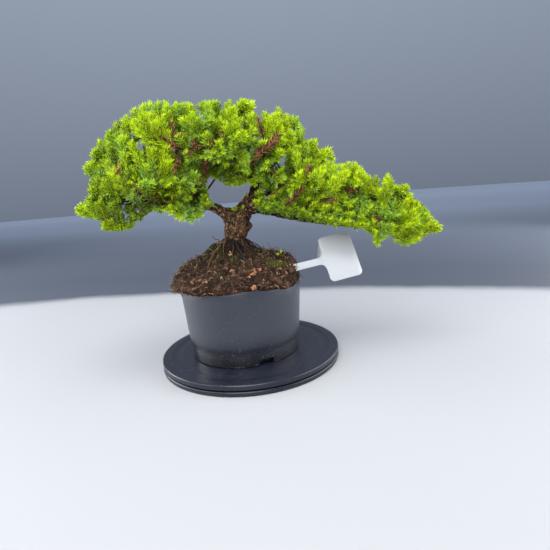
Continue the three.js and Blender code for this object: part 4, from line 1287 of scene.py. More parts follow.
def make_wood():
    """Trunk, limbs and roots joined into one skin, with bark that runs along each of them."""
    skins = []
    for _, line in WOOD_LINES:
        sides = 20 if line[0, 3] > 6 else 12
        skins.append(tubes(line[None, :, :3], line[None, :, 3], sides)[:2])
    skins.append(burl_ball())
    wood = make_object("wood_rough", *joined(skins), [BARK], None)
    remesh = wood.modifiers.new("join", "REMESH")
    remesh.mode, remesh.voxel_size = "VOXEL", WOOD_VOXEL * MM
    bake_modifiers(wood)
    mesh = wood.data
    verts = np.zeros(len(mesh.vertices) * 3)
    mesh.vertices.foreach_get("co", verts)
    verts = verts.reshape(-1, 3) / MM
    normal = np.zeros(len(mesh.vertices) * 3, np.float32)
    mesh.vertices.foreach_get("normal", normal)
    normal = normal.reshape(-1, 3).astype(float)
    s, turn, radius, owner = wood_frames(verts)
    # Long ridges along the limb, broken into flakes, over broad lumps
    ring = np.stack([np.cos(turn) * radius * 0.9, np.sin(turn) * radius * 0.9, s / 5.5 + owner * 9.0], axis=1)
    ridges = fractal(ring, 2.6, 4, 2)
    flakes = fractal(verts, 5.0, 6, 3)
    lumps = fractal(verts, 15.0, 9, 1)
    depth = np.clip(radius * 0.095, 0.12, 1.1)
    lift = depth * (0.6 * ridges + 1.15 * flakes) + np.clip(radius * 0.12, 0, 1.6) * lumps
    # The hollow in the burl has a swollen lip, and the scar on the trunk a shallow ring
    to_hollow = np.linalg.norm(verts - HOLLOW_AT, axis=1)
    lift += -HOLLOW_DEPTH * np.exp(-((to_hollow / 2.3) ** 2)) + HOLLOW_LIP * np.exp(-(((to_hollow - 4.3) / 1.3) ** 2))
    scar = np.linalg.norm((verts - SCAR_AT) / SCAR_SIZE, axis=1)
    lift += 0.9 * np.exp(-((scar / 0.9) ** 2)) - 0.6 * np.exp(-(((scar - 1.25) / 0.25) ** 2))
    verts = verts + normal * lift[:, None]
    mesh.vertices.foreach_set("co", (verts * MM).astype(np.float32).ravel())
    mesh.update()
    x, z = verts[:, 0], verts[:, 2]
    # Painted shade: the shade number darkens the trunk's foot among the roots, the fork and the hollow in the burl
    foot = np.clip((157.0 - z) / 12.0, 0, 1) * 0.9
    fork = np.clip((z - 196) / 14.0, 0, 1) * np.clip(1 - np.abs(x - 20) / 34.0, 0, 1) * 0.7
    numbers = {
        "along": s / 5.0 + owner * 7.0,
        "turn": np.cos(turn) * radius * 0.55 + np.sin(turn) * radius * 0.31 + owner * 3.0,
        "burl": np.exp(-(np.linalg.norm((verts - FRESH_BARK_AT) / FRESH_BARK_SIZE, axis=1) ** 2.5)) * 0.75,
        "shade": np.clip(foot + fork + np.exp(-((to_hollow / 3.0) ** 4)), 0, 1),
    }
    for key, values in numbers.items():
        mesh.attributes.new(key, "FLOAT", "POINT").data.foreach_set("value", values.astype(np.float32))
    mesh.polygons.foreach_set("use_smooth", [True] * len(mesh.polygons))
    wood.name = "trunk_and_limbs_bark"
    mesh.name = wood.name
    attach(wood, TURNING)
    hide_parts("trunk_and_limbs")


FINE_ROOT_SEED = 77
FINE_ROOT_COUNT = 260
FINE_ROOT_POINTS = 9
# The roots that show one by one: thickness and points
SHOWN_ROOTS = [
    (0.55, [(-26, -12, 155), (-30, -14, 158.5), (-33, -14, 160), (-34.5, -15, 163)]),
    (0.55, [(-37, -17, 150), (-42, -20, 145), (-46, -26, 141), (-52, -29, 137)]),
    (0.55, [(-33, -15, 153), (-38, -19, 147), (-40, -24, 140), (-47, -27, 134)]),
    (0.55, [(-30, -14, 154), (-29, -20, 146), (-33, -26, 138), (-32, -30, 130)]),
    (0.55, [(-26, -12, 153), (-23, -20, 146), (-25, -27, 139), (-22, -33, 131)]),
    (0.95, [(24, -20, 131), (32, -22, 134), (40, -22, 132), (47, -21, 126)]),
    (0.55, [(12, -16, 139), (19, -24, 136), (22, -30, 131), (28, -34, 124)]),
    (0.55, [(-4, -14, 147), (2, -22, 139), (6, -30, 133), (13, -38, 127)]),
    (0.55, [(-12, -14, 148), (-8, -24, 138), (-2, -34, 132), (10, -45, 127)]),
]
FINE_ROOT_STOPS = [
    (0.0, (0.006, 0.003, 0.002)),
    (0.55, (0.019, 0.009, 0.005)),
    (0.85, (0.046, 0.020, 0.011)),
    (1.0, (0.125, 0.060, 0.032)),
]


def make_fine_roots():
    """Thin roots from the trunk's foot to the soil, with the stub and rootlets at the left."""
    rng = np.random.default_rng(FINE_ROOT_SEED)
    lines, radii = [], []
    for i in range(FINE_ROOT_COUNT):
        angle = rng.uniform(0, 2 * np.pi)
        start = np.array([-9 + 9.5 * math.cos(angle), -1 + 9.5 * math.sin(angle), rng.uniform(141, 158)])
        reach = rng.uniform(4, 17) if i % 3 else rng.uniform(14, 40)
        x = start[0] + reach * math.cos(angle + rng.normal() * 0.35)
        y = start[1] + reach * math.sin(angle + rng.normal() * 0.35)
        end = np.array([x, y, float(soil_height(x - POT_AT[0], y - POT_AT[1])) - 1.2])
        bend = (start + end) / 2 + [4 * math.cos(angle), 4 * math.sin(angle), rng.uniform(0, 9)]
        line = bezier(start, bend, end, FINE_ROOT_POINTS)
        line[1:-1] += rng.normal(size=(FINE_ROOT_POINTS - 2, 3)) * 0.7
        lines.append(line)
        thick = rng.uniform(0.35, 1.0) if i % 4 else rng.uniform(1.0, 1.8)
        radii.append(thick * np.linspace(1.0, 0.55, FINE_ROOT_POINTS))
    for thick, points in SHOWN_ROOTS:
        line = smooth_line(points, 3)
        lengths = line_lengths(line)
        line = along_line(line, lengths, np.linspace(0, lengths[-1], FINE_ROOT_POINTS))
        line[1:-1] += rng.normal(size=(FINE_ROOT_POINTS - 2, 3)) * 0.35
        lines.append(line)
        radii.append(thick * np.linspace(1.0, 0.4, FINE_ROOT_POINTS))
    thread_piece("fine_roots", lines, radii, 5, FINE_ROOT_STOPS, rng, 0.9)


make_wood()
make_fine_roots()

# ---- crown: the source's own layout

# Slices of the crown: x, lowest and highest point, depth to the front and to the back
CROWN = [
    (-194, 200, 207, 6, 4),
    (-180, 200, 226, 20, 22),
    (-168, 201, 256, 34, 36),
    (-150, 202, 290, 50, 50),
    (-122, 203, 309, 66, 62),
    (-92, 206, 322, 76, 70),
    (-58, 204, 321, 80, 74),
    (-36, 232, 320, 80, 76),
    (0, 236, 321, 78, 76),
    (28, 232, 317, 72, 72),
    (58, 226, 308, 66, 68),
    (82, 200, 284, 60, 64),
    (104, 176, 268, 54, 58),
    (124, 168, 246, 50, 52),
    (150, 162, 238, 46, 46),
    (180, 150, 222, 42, 40),
    (206, 142, 207, 36, 34),
    (228, 142, 186, 26, 26),
    (246, 144, 164, 15, 15),
    (262, 145, 149, 4, 4),
]
CROWN_TABLE = np.array(CROWN, float)
# Where the widest level of a slice lies between its lowest and highest point
MIDDLE_PART = 0.3
SLICE_STEP = 38
RING_STEP = 48
RING_START = -24
RING_END = 204
RING_MARGINS = (22, 20)
TIP_NUDGE = 12
SINGLE_SPRAYS = [(-166, -24, 184), (-192, -9, 204), (260, -4, 147), (176, -22, 136), (208, -14, 130)]
SEED = 11
DRAW_PRIME = 668265263
SEAT_GAP = 0.3
SEAT_STEP = 9
SEAT_CROWD = 9
# What a seat costs: a stem that is short of the shortest, one that leans back, a crowded seat, a limb's end
SHORT_COST, LEAN_COST, CROWD_COST, END_COST = 3, 55, 26, -6
SPRAY_SHORTEST = 20
SIDE_SHOOTS = 12
SHOWN_SHOOTS = (1, 6)
SIDE_LENGTH = 27
SHOOT_TURN = math.radians(137.5)
SHOOT_OPEN = math.radians(46)
# For each spray in turn, the tip it belongs to and how many times its stem was bent to be clear
SPRAY_STEMS = [
    (0, 13), (1, 5), (2, 0), (4, 0), (5, 0), (7, 8), (8, 0), (10, 13), (11, 0), (13, 13), (14, 8), (15, 13),
    (17, 8), (18, 13), (19, 11), (20, 0), (22, 8), (23, 5), (24, 8), (26, 8), (27, 3), (29, 0), (32, 12), (33, 9),
    (34, 6), (35, 9), (37, 0), (38, 2), (39, 0), (40, 8), (41, 0), (43, 12), (44, 3), (48, 0), (49, 0), (50, 0),
    (51, 12), (52, 9),
]


def draw(a, b, c):
    """A repeatable draw between 0 and 1 for three whole numbers, as the source makes it."""
    bits = SEED
    for value in (a, b, c):
        bits = ((bits ^ (value + 1)) * DRAW_PRIME) & 0xFFFFFFFF
        bits ^= bits >> 13
    bits = (bits * DRAW_PRIME) & 0xFFFFFFFF
    return (bits ^ (bits >> 16)) / 2**32


def crown_at(x):
    return [float(np.interp(x, CROWN_TABLE[:, 0], CROWN_TABLE[:, k])) for k in (1, 2, 3, 4)]


def crown_point(x, angle, bottoms=CROWN_TABLE, inset=1.0):
    """A point of the crown's skin, or of a smaller one in it, at an angle from the front over the top."""
    _, top, front, back = crown_at(x)
    bottom = float(np.interp(x, bottoms[:, 0], bottoms[:, 1]))
    middle = mix(bottom, top, MIDDLE_PART)
    depth = front if math.cos(angle) > 0 else back
    rise = top - middle if math.sin(angle) > 0 else middle - bottom
    return np.array([x, -inset * depth * math.cos(angle), middle + inset * rise * math.sin(angle)])


def spray_tips():
    tips = []
    first, last = CROWN[0][0] + RING_MARGINS[0], CROWN[-1][0] - RING_MARGINS[1]
    slices = math.floor((last - first) / SLICE_STEP + 0.5)
    for i in range(slices + 1):
        x = mix(first, last, i / slices)
        start, over, end = (crown_point(x, math.radians(a)) for a in (RING_START, 90, RING_END))
        around = 1.15 * (np.linalg.norm(start - over) + np.linalg.norm(over - end))
        count = max(2, math.floor(around / RING_STEP + 0.5))
        for k in range(count):
            part = (k + (0.72 if i % 2 else 0.28) + 0.2 * (draw(i, k, 1) - 0.5)) / count
            nudge = TIP_NUDGE * (draw(i, k, 2) - 0.5)
            tips.append(crown_point(x + nudge, math.radians(mix(RING_START, RING_END, part))))
    return tips + [np.array(p, float) for p in SINGLE_SPRAYS]


def limb_seats():
    """Places along the limbs where a spray may grow: point, direction, radius and whether it is the end."""
    seats = []
    for points in LIMBS.values():
        points = np.array(points, float)
        for i in range(1, len(points)):
            a, b = points[i - 1], points[i]
            length = np.linalg.norm(b[:3] - a[:3])
            steps = max(1, math.floor(length / SEAT_STEP + 0.5))
            for k in range(1, steps + 1):
                part = k / steps
                end = i == len(points) - 1 and k == steps
                seats.append((mix(a[:3], b[:3], part), (b[:3] - a[:3]) / length, mix(a[3], b[3], part), end))
    return seats


def spray_layout():
    """Seat and tip of every spray, by the index of its tip."""
    seats, tips = limb_seats(), spray_tips()
    at = np.array([s[0] for s in seats])
    along = np.array([s[1] for s in seats])
    ends = np.array([s[3] for s in seats])
    taken = np.zeros(len(seats))
    chosen = {}
    for i in sorted(range(len(tips)), key=lambda n: -abs(tips[n][0])):
        reach = tips[i] - at
        length = np.linalg.norm(reach, axis=1)
        lean = np.sum(reach * along, axis=1) / length
        cost = length + SHORT_COST * np.maximum(0, SPRAY_SHORTEST - length) + LEAN_COST * np.maximum(0, 0.1 - lean)
        cost += CROWD_COST * taken + END_COST * ends
        best = int(cost.argmin())
        taken[np.linalg.norm(at - at[best], axis=1) < SEAT_CROWD] += 1
        chosen[i] = (seats[best], tips[i])
    return chosen


def stem_points(seat, tip, bent):
    """Start, bend and tip of a spray's stem."""
    at, along, radius, end = seat
    reach = tip - at
    length = np.linalg.norm(reach)
    turn = 2.4 * bent
    swing = 0.07 * bent * np.array([math.cos(turn), math.sin(turn), 0.5])
    leave = unit(reach / length + 0.7 * along + swing)
    offset = radius * 0.5 + SEAT_GAP + 0.1 if end else radius * 1.12 + SEAT_GAP + 0.25
    start = at + (along if end else leave) * offset
    return start, start + leave * 0.42 * length, tip


def side_points(stem, place, azimuth, length):
    """Start, bend and tip of a side shoot that leaves a stem at an opening angle and bends up."""
    a, b, c = stem
    start = (1 - place) ** 2 * a + 2 * place * (1 - place) * b + place**2 * c
    tangent = unit(2 * (1 - place) * (b - a) + 2 * place * (c - b))
    across = across_of(tangent)
    up = np.cross(tangent, across)
    outward = across * math.cos(azimuth) + up * math.sin(azimuth)
    leave = tangent * math.cos(SHOOT_OPEN) + outward * math.sin(SHOOT_OPEN)
    finish = unit(0.8 * leave + 0.2 * tangent + np.array([0, 0, 0.3]))
    return start, start + 0.5 * length * leave, start + finish * length


# ---- the crown as the camera sees it

# Outlines in pixels of the picture: the gap between the trunk, the left limb and the crown, and smaller ones
VIEW_GAPS = [
    [(208, 178), (211, 176.5), (216, 180), (222.5, 183), (226, 186), (235, 187), (244, 186), (246, 191), (251, 197)]
    + [(251, 204), (246, 208), (240, 213), (226, 213), (215, 207), (209, 200), (207, 191)],
    [(272.5, 163), (276, 162), (278.5, 166), (276, 170), (273, 169.5)],
    [(252, 131), (255, 131), (255, 137), (252.5, 138)],
    [(262, 189), (265.5, 188.5), (266.5, 192), (263, 192.5)],
    [(279, 199), (285, 198.5), (285, 201.5), (280, 202)],
]
# Where the first stretch of the left limb shows, without needles before it
LIMB_STRIP = [[(203, 205), (209, 204), (216, 208), (224, 214), (224, 223), (215, 221), (209, 215), (203, 211)]]
# Where a long browned shoot shows through the front of the crown
BROWN_STRIP = [
    [(249, 166), (254, 169), (266, 156), (276, 147), (282, 138), (279, 131), (272, 135), (263, 146), (254, 156)]
]
# Every branchlet ends inside this
CROWN_OUTLINE = [
    (74, 213), (81, 202), (91, 197), (89, 190), (91, 183), (94, 176), (81, 168), (89, 160), (91, 150), (96, 140),
    (107, 130), (113, 122), (124, 115), (132, 108), (139, 103), (149, 101), (154, 100), (168, 100), (170, 111),
    (174, 101), (190, 102), (200, 102), (216, 99), (230, 98), (245, 98), (255, 100), (260, 112), (266, 109),
    (280, 105), (287, 113), (296, 113), (298, 121), (303, 129), (301, 138), (303, 142), (310, 139), (313, 137),
    (318, 138), (329, 147), (336, 160), (351, 159), (363, 168), (370, 174), (390, 173), (397, 183), (409, 182),
    (414, 192), (410, 199), (415, 199), (423, 204), (430, 215), (440, 221), (445, 229), (428, 232), (421, 234),
    (421, 243), (414, 243), (401, 248), (393, 245), (398, 237), (388, 236), (381, 245), (376, 247), (371, 241),
    (373, 231), (356, 229), (342, 227), (324, 223), (300, 219), (285, 215), (271, 212), (259, 212), (256, 204),
    (250, 190), (250, 213), (240, 216), (226, 215), (220, 204), (213, 206), (207, 209), (203, 217), (199, 221),
    (190, 224), (180, 222), (165, 213), (152, 212), (140, 222), (128, 231), (112, 234), (102, 231), (103, 221),
    (122, 220), (133, 214), (105, 215), (90, 215),
]
OUTLINE_SLACK = 3
# Browned places within the crown: pixel, and half the width and height
BROWN_SPOTS = [
    (134, 182, 5, 4), (156, 196, 6, 4), (168, 199, 5, 4), (139, 210, 5, 3), (178, 138, 5, 3), (176, 129, 4, 3),
    (208, 147, 5, 4), (190, 158, 4, 3), (204, 164, 4, 4), (240, 174, 6, 3), (249, 177, 5, 3), (152, 138, 4, 2),
    (180, 178, 4, 4), (198, 186, 4, 3), (272, 174, 5, 4), (280, 186, 4, 4), (269, 193, 5, 3), (297, 193, 4, 4),
    (334, 203, 3, 5), (386, 222, 3, 2), (120, 170, 3, 3), (222, 133, 3, 3), (262, 127, 3, 4), (312, 170, 3, 4),
    (352, 192, 3, 4),
]
BROWN_DEPTH = 13.0
EYE = np.array(CAMERA_AT) / MM


def seen_at(points):
    """Where the camera sees each point, in pixels of the 550 by 550 picture."""
    rel = np.asarray(points, float) - EYE
    scale = PICTURE * LENS / SENSOR / (rel @ np.array(CAMERA_FORWARD))
    across, up = rel @ np.array(CAMERA_RIGHT) * scale, rel @ np.array(CAMERA_UP) * scale
    return np.stack([PICTURE / 2 + across, PICTURE / 2 - up], axis=1)


def in_polygon(polygon, x, y):
    """Which places lie inside a polygon; x and y are arrays that fit together."""
    inside = np.zeros(np.broadcast(x, y).shape, bool)
    for a, b in zip(polygon, np.roll(polygon, -1, axis=0)):
        level = (a[1] > y) != (b[1] > y)
        where = a[0] + (y - a[1]) * (b[0] - a[0]) / (b[1] - a[1] if b[1] != a[1] else 1e-9)
        inside ^= level & (x < where)
    return inside


def in_view_gap(points, margin, gaps=VIEW_GAPS):
    """Which points are seen inside one of the gaps, or less than a margin in pixels outside it."""
    seen = seen_at(points)
    inside = np.zeros(len(seen), bool)
    for gap in gaps:
        centre = np.mean(gap, axis=0)
        reach = np.array(gap) - centre
        wider = centre + reach * (1 + margin / np.linalg.norm(reach, axis=1, keepdims=True))
        inside |= in_polygon(wider, seen[:, 0], seen[:, 1])
    return inside


def raster(polygon, wider):
    """A map of the pixels in which a polygon is, made wider by a few pixels."""
    at = np.arange(PICTURE) + 0.5
    inside = in_polygon(np.array(polygon), at[None], at[:, None])
    for _ in range(wider):
        grown = [np.roll(inside, step, axis) for axis in (0, 1) for step in (1, -1)]
        inside = np.any([inside, *grown], axis=0)
    return inside


OUTLINE = raster(CROWN_OUTLINE, 0)
OUTLINE_WIDE = raster(CROWN_OUTLINE, OUTLINE_SLACK)


def seen_in(area, points):
    """Which points the camera sees within a mapped area."""
    seen = np.clip(seen_at(points).astype(int), 0, PICTURE - 1)
    return area[seen[:, 1], seen[:, 0]]


def crosses_nothing(line):
    """Whether a twig stays clear of the gap over the left limb and within the outline."""
    return seen_in(OUTLINE_WIDE, line).all() and not in_view_gap(line, -1.0, VIEW_GAPS[:1]).any()


def pulled_in(root, tip, ahead):
    """A tip, moved back towards its root as far as it takes to be seen inside the outline."""
    for part in (1.0, 0.94, 0.88, 0.82, 0.76, 0.7, 0.64, 0.58):
        point = mix(root, tip, part)
        if seen_in(OUTLINE, (point + 2.5 * ahead)[None])[0]:
            return point
    return mix(root, tip, 0.55)


def within_crown(p):
    bottom, top, front, _ = crown_at(p[0])
    middle = mix(bottom, top, MIDDLE_PART)
    rise = top - middle if p[2] > middle else middle - bottom
    return abs(p[2] - middle) < rise and -p[1] < front * math.sqrt(max(0.0, 1 - ((p[2] - middle) / rise) ** 2))


def brown_places():
    """A point behind the crown's front for each browned place, with its size."""
    scale = SENSOR / LENS / PICTURE
    found = []
    for u, v, across, tall in BROWN_SPOTS:
        right, down = (u - PICTURE / 2) * np.array(CAMERA_RIGHT), (v - PICTURE / 2) * np.array(CAMERA_UP)
        ray = np.array(CAMERA_FORWARD) + scale * (right - down)
        ray = ray / ray[1]
        depth = -90.0
        while depth < 20 and not within_crown(EYE + ray * (depth - EYE[1])):
            depth += 2.0
        found.append((EYE + ray * (depth + BROWN_DEPTH - EYE[1]), across, tall))
    return found


BROWN_PLACES = brown_places()

# ---- foliage

NEEDLE_FACES = np.array([(1, 0, 3), (0, 2, 3), (2, 1, 3), (0, 1, 2)])
NEEDLE_CELLS = np.array(
    [
        [(0.03, 0.02), (0.47, 0.02), (0.25, 0.98)],
        [(0.52, 0.02), (0.72, 0.02), (0.62, 0.98)],
        [(0.76, 0.02), (0.96, 0.02), (0.86, 0.98)],
        [(0.36, 0.9), (0.48, 0.9), (0.42, 0.98)],
    ]
)
NEEDLE_BANDED = np.array([1, 0, 0, 0])
NEEDLE_WIDTH = 2.05
TWIG_BAND = 0.1
# Angle of the needles to their shoot, along it and at its very tip, and the length over which they close
OPEN_ANGLE = 47.0
TIP_ANGLE = 34.0
TIP_LENGTH = 4.0
# Needle lengths of a branchlet's axis, its side shoots and its old stretch
AXIS_NEEDLES, SIDE_NEEDLES, OLD_NEEDLES = 7.0, 6.1, 6.6
SIDE_GAPS = (2.9, 4.0)
SIDE_OPEN = (0.6, 0.85)
SIDE_LONGEST = 12.5


class Foliage:
    """Needles and twigs of one spray, gathered before they become one mesh."""

    def __init__(self):
        self.needles, self.twigs = [], []

    def twig(self, line, thick, thin, age, count):
        length = line_lengths(line)
        points = along_line(line, length, np.linspace(0, length[-1], count))
        self.twigs.append((points, np.linspace(thick, thin, count), age))

    def shoot(self, line, start, rng, age, fade, size, spacing, dead=0.0, rosette=True, open_angle=OPEN_ANGLE):
        """Whorls of three needles along a line from start mm on, closing to a rosette at its tip."""
        lengths = line_lengths(line)
        total = lengths[-1]
        places = np.arange(start, total - 0.7, spacing)
        if rosette:
            places = np.append(places, [total - 0.7, total])
        if not len(places):
            return
        n = len(places)
        pos = along_line(line, lengths, places)
        ahead = along_line(line, lengths, np.minimum(places + 0.8, total))
        behind = along_line(line, lengths, np.maximum(places - 0.8, 0))
        tangent = unit(ahead - behind)
        first = across_of(tangent[0])
        across = unit(first - (tangent @ first)[:, None] * tangent)
        up = np.cross(tangent, across)
        left = total - places
        close = np.clip(1 - left / TIP_LENGTH, 0, 1) if rosette else np.zeros(n)
        angle = np.radians(mix(open_angle, TIP_ANGLE, close))[:, None] + rng.normal(0, 0.13, (n, 3))
        length = (size * mix(1.0, 0.72, close))[:, None] * rng.uniform(0.84, 1.14, (n, 3))
        turn = rng.uniform(0, 6.28) + np.arange(n)[:, None] * (np.pi / 3) + np.arange(3) * (2 * np.pi / 3)
        turn = (turn + rng.normal(0, 0.12, (n, 3)))[..., None]
        angle = angle[..., None]
        radial = across[:, None] * np.cos(turn) + up[:, None] * np.sin(turn)
        along = tangent[:, None] * np.cos(angle) + radial * np.sin(angle)
        face = tangent[:, None] * np.sin(angle) - radial * np.cos(angle)
        stage = np.clip(age - fade * left, 0, 1)[:, None] * np.ones((1, 3))
        base = pos[:, None] + radial * 0.35
        own = rng.uniform(0, 1, (3 * n, 1))
        columns = [base.reshape(-1, 3), along.reshape(-1, 3), face.reshape(-1, 3), length.reshape(-1, 1)]
        columns += [stage.reshape(-1, 1), own, np.full((3 * n, 1), dead)]
        self.needles.append(np.concatenate(columns, axis=1))

    def culled(self, rows):
        """The needles and twigs that leave the gaps, the strips and the browned places open."""
        base, along, rnd, green = rows[:, 0:3], rows[:, 3:6], rows[:, 11], rows[:, 12] < 0.5
        middle, ends = base + 3.0 * along, base + 5.0 * along
        before = middle[:, 1]
        hides = in_view_gap(middle, 0.0) | (green & (before < -30) & in_view_gap(middle, 0.0, BROWN_STRIP))
        hides |= (before < 0) & in_view_gap(middle, 0.0, LIMB_STRIP)
        hides |= ~seen_in(OUTLINE_WIDE, ends) | (~seen_in(OUTLINE, ends) & (rnd < 0.4))
        for spot, across, tall in BROWN_PLACES:
            shift = (seen_at(middle) - seen_at(spot[None])) / [0.8 * across, 0.8 * tall]
            hides |= green & (before < spot[1] + 3) & (np.linalg.norm(shift, axis=1) < 1)
        twigs = [twig for twig in self.twigs if twig[1][0] > 1.0 or crosses_nothing(twig[0])]
        return rows[~hides], twigs

    def piece(self, name, width=NEEDLE_WIDTH, clear=True):
        rows, twigs = np.concatenate(self.needles), self.twigs
        if clear:
            rows, twigs = self.culled(rows)
        base, along, face = rows[:, 0:3], rows[:, 3:6], rows[:, 6:9]
        length, age, rnd, dead = rows[:, 9:10], rows[:, 10], rows[:, 11], rows[:, 12]
        side = np.cross(along, face)
        wide = width * mix(0.86, 1.0, rnd)[:, None] * np.clip(length / 6.0, 0.75, 1.1)
        corners = [
            base + side * wide / 2,
            base - side * wide / 2,
            base - face * wide * 0.45 + along * length * 0.1,
            base + along * length + face * length * (0.07 + 0.1 * (rnd[:, None] - 0.5)),
        ]
        many, per = len(rows), len(NEEDLE_FACES)
        verts = [np.stack(corners, axis=1).reshape(-1, 3)]
        faces = [(NEEDLE_FACES[None] + (np.arange(many) * len(corners))[:, None, None]).reshape(-1, 3)]
        uvs, slots = [cell_map(NEEDLE_CELLS, many, TWIG_BAND, 1.0)], [np.zeros(many * per)]
        pale = np.clip(0.8 - age, 0, 1) * 0.9 * (dead < 0.5)
        numbers = {key: np.repeat(values, per) for key, values in (("age", age), ("rnd", rnd), ("dead", dead))}
        numbers["band"] = (NEEDLE_BANDED[None] * pale[:, None]).reshape(-1)
        groups = {}
        for twig in twigs:
            groups.setdefault(len(twig[0]), []).append(twig)
        step = TWIG_BAND / max(1, len(groups))
        offset = len(verts[0])
        for i, (count, members) in enumerate(sorted(groups.items(), key=lambda group: group[0])):
            lines, radii, ages = zip(*members)
            v, f, cells, per = tubes(lines, radii, 3 if count < 5 else 4)
            verts.append(v)
            faces.append(f + offset)
            offset += len(v)
            slots.append(np.ones(len(f)))
            uvs.append(cell_map(cells, len(members), i * step, (i + 1) * step))
            stage = np.repeat(ages, per)
            for key, fill in (("age", stage), ("rnd", stage), ("dead", 0 * stage), ("band", 0 * stage)):
                numbers[key] = np.concatenate([numbers[key], fill])
        slots = np.concatenate(slots)
        maps = {"slots": slots, "numbers": numbers, "uv": np.concatenate(uvs)}
        skin = np.vstack(verts), np.vstack(faces)
        piece = make_object(name, *skin, [NEEDLES, TWIG], TURNING, smooth=slots > 0, **maps)
        return piece


def dead_needles(store, line, start, rng, size, spacing, open_angle=OPEN_ANGLE):
    """Browned needles along a line."""
    store.shoot(line, start, rng, age=0.1, fade=0.0, size=size, dead=1.0, spacing=spacing, open_angle=open_angle)


def plume(store, curve, needled, rng, age, thick=0.8, count=9, inset=2.0, browned=0.2, face=None):
    """A feathery branchlet: an axis and short side shoots set round it, needled on its last stretch."""
    a, b, c = curve
    c = pulled_in(a, c - unit(c - b) * inset, unit(c - b))
    line = bezier(a, b, c, count)
    lengths = line_lengths(line)
    total = lengths[-1]
    start = max(1.0, total - needled)
    store.twig(line, thick, 0.45, mix(0.1, 0.8, age), 5)
    store.shoot(line, start, rng, age=age, fade=0.014, size=AXIS_NEEDLES, spacing=2.6)
    # Old needles, some of them dead, lower on the stem
    if start > 8:
        old = along_line(line, lengths, np.linspace(0.3 * start, start, 5))
        dead = float(rng.uniform() < browned)
        old_look = {"age": 0.1, "fade": 0.0, "size": OLD_NEEDLES, "dead": dead}
        store.shoot(old, 0.0, rng, spacing=3.1, rosette=False, **old_look)
    place, k = start + 1.0, 0
    while place < total - 3.0:
        left = total - place
        length = min(SIDE_LONGEST, 5.2 + 0.42 * left) * rng.uniform(0.8, 1.15)
        at, ahead = along_line(line, lengths, np.array([place, min(place + 1.0, total)]))
        tangent = unit(ahead - at)
        across = unit(np.cross(tangent, face)) if face is not None else across_of(tangent)
        up = np.cross(tangent, across)
        turn = (k % 2) * math.pi + rng.normal(0, 0.45) + (1.3 if k % 5 == 4 else 0.0)
        outward = across * math.cos(turn) + up * math.sin(turn)
        open_by = rng.uniform(*SIDE_OPEN)
        leave = tangent * math.cos(open_by) + outward * math.sin(open_by)
        finish = unit(leave + 0.35 * tangent + np.array([0, 0, 0.25]))
        if not seen_in(OUTLINE, (at + finish * (length + 2.0))[None])[0]:
            length *= 0.6
        side = bezier(at, at + leave * length * 0.5, at + finish * length, 4)
        store.twig(side, 0.42, 0.26, mix(0.4, 0.9, age), 2)
        fresh = age - 0.012 * left + rng.normal(0, 0.04)
        store.shoot(side, 1.8, rng, age=fresh, fade=0.032, size=SIDE_NEEDLES, spacing=2.5)
        place += rng.uniform(*SIDE_GAPS)
        k += 1


# How low the foliage hangs: x and height
FOLIAGE_BOTTOM = np.array(
    [(-194, 203), (-175, 198), (-150, 198), (-105, 198), (-80, 195), (-62, 188), (-46, 189), (-37, 205), (-28, 220)]
    + [(0, 221), (18, 214), (30, 200), (44, 187), (70, 182), (105, 172), (130, 165), (165, 158), (200, 150)]
    + [(228, 147), (262, 146)],
    float,
)


def skin_normal(x, angle):
    across = crown_point(x, angle + 0.02, FOLIAGE_BOTTOM) - crown_point(x, angle - 0.02, FOLIAGE_BOTTOM)
    along = crown_point(x + 1.5, angle, FOLIAGE_BOTTOM) - crown_point(x - 1.5, angle, FOLIAGE_BOTTOM)
    return unit(np.cross(along, across))


class Spray:
    """One spray of the source: its stem, its own shoots, and the branchlets that fill it out."""

    def __init__(self, number, tip_index, bent, layout):
        self.name = f"spray_{number:02d}"
        seat, self.tip = layout[tip_index]
        self.stem = stem_points(seat, self.tip, bent)
        self.sides = []
        for k in SHOWN_SHOOTS:
            place = mix(0.28, 0.86, (k + 0.5) / SIDE_SHOOTS)
            full = SIDE_LENGTH * mix(1.05, 0.6, place) * mix(0.85, 1.15, draw(tip_index, k, 7))
            azimuth = k * SHOOT_TURN + draw(tip_index, 0, 6) * 6.28
            self.sides.append(side_points(self.stem, place, azimuth, full))
        self.foliage = Foliage()


# Further branchlets: tips on the outline, before the limbs, round the gap over the left limb, and hanging
SHOWN_TIPS = [
    (-188, -6, 205), (-181, -6, 211), (-169, -8, 219), (-169, -8, 227), (-165, -8, 234), (-162, -8, 243),
    (-170, -8, 252), (-163, -8, 259), (-160, -5, 270), (-152, -5, 281), (-139, -5, 291), (-130, -5, 299),
    (-119, -5, 306), (-109, 0, 314), (-99, 0, 318), (-90, 0, 319), (-81, -4, 320), (-72, -4, 319),
    (-62, 0, 318), (-46, 0, 316), (-33, 0, 316), (-15, 0, 317), (1, 0, 316), (17, 0, 316), (28, 0, 314),
    (42, 0, 302), (58, 0, 305), (67, 0, 297), (74, 0, 295), (77, 0, 288), (81, -3, 280), (78, -5, 270),
    (83, -8, 263), (92, -8, 264), (98, -8, 265), (111, -8, 254), (118, -8, 238), (138, -8, 236), (152, -8, 225),
    (164, -8, 217), (186, -10, 217), (195, -10, 204), (209, -10, 204), (215, -10, 193), (219, -10, 184),
    (227, -10, 177), (236, -10, 164), (248, -10, 155), (64, -20, 284), (67, -25, 274), (69, -28, 265),
    (76, -30, 257), (60, -30, 265), (66, -34, 253), (-169, -30, 209), (-154, -34, 212), (-140, -36, 209),
]
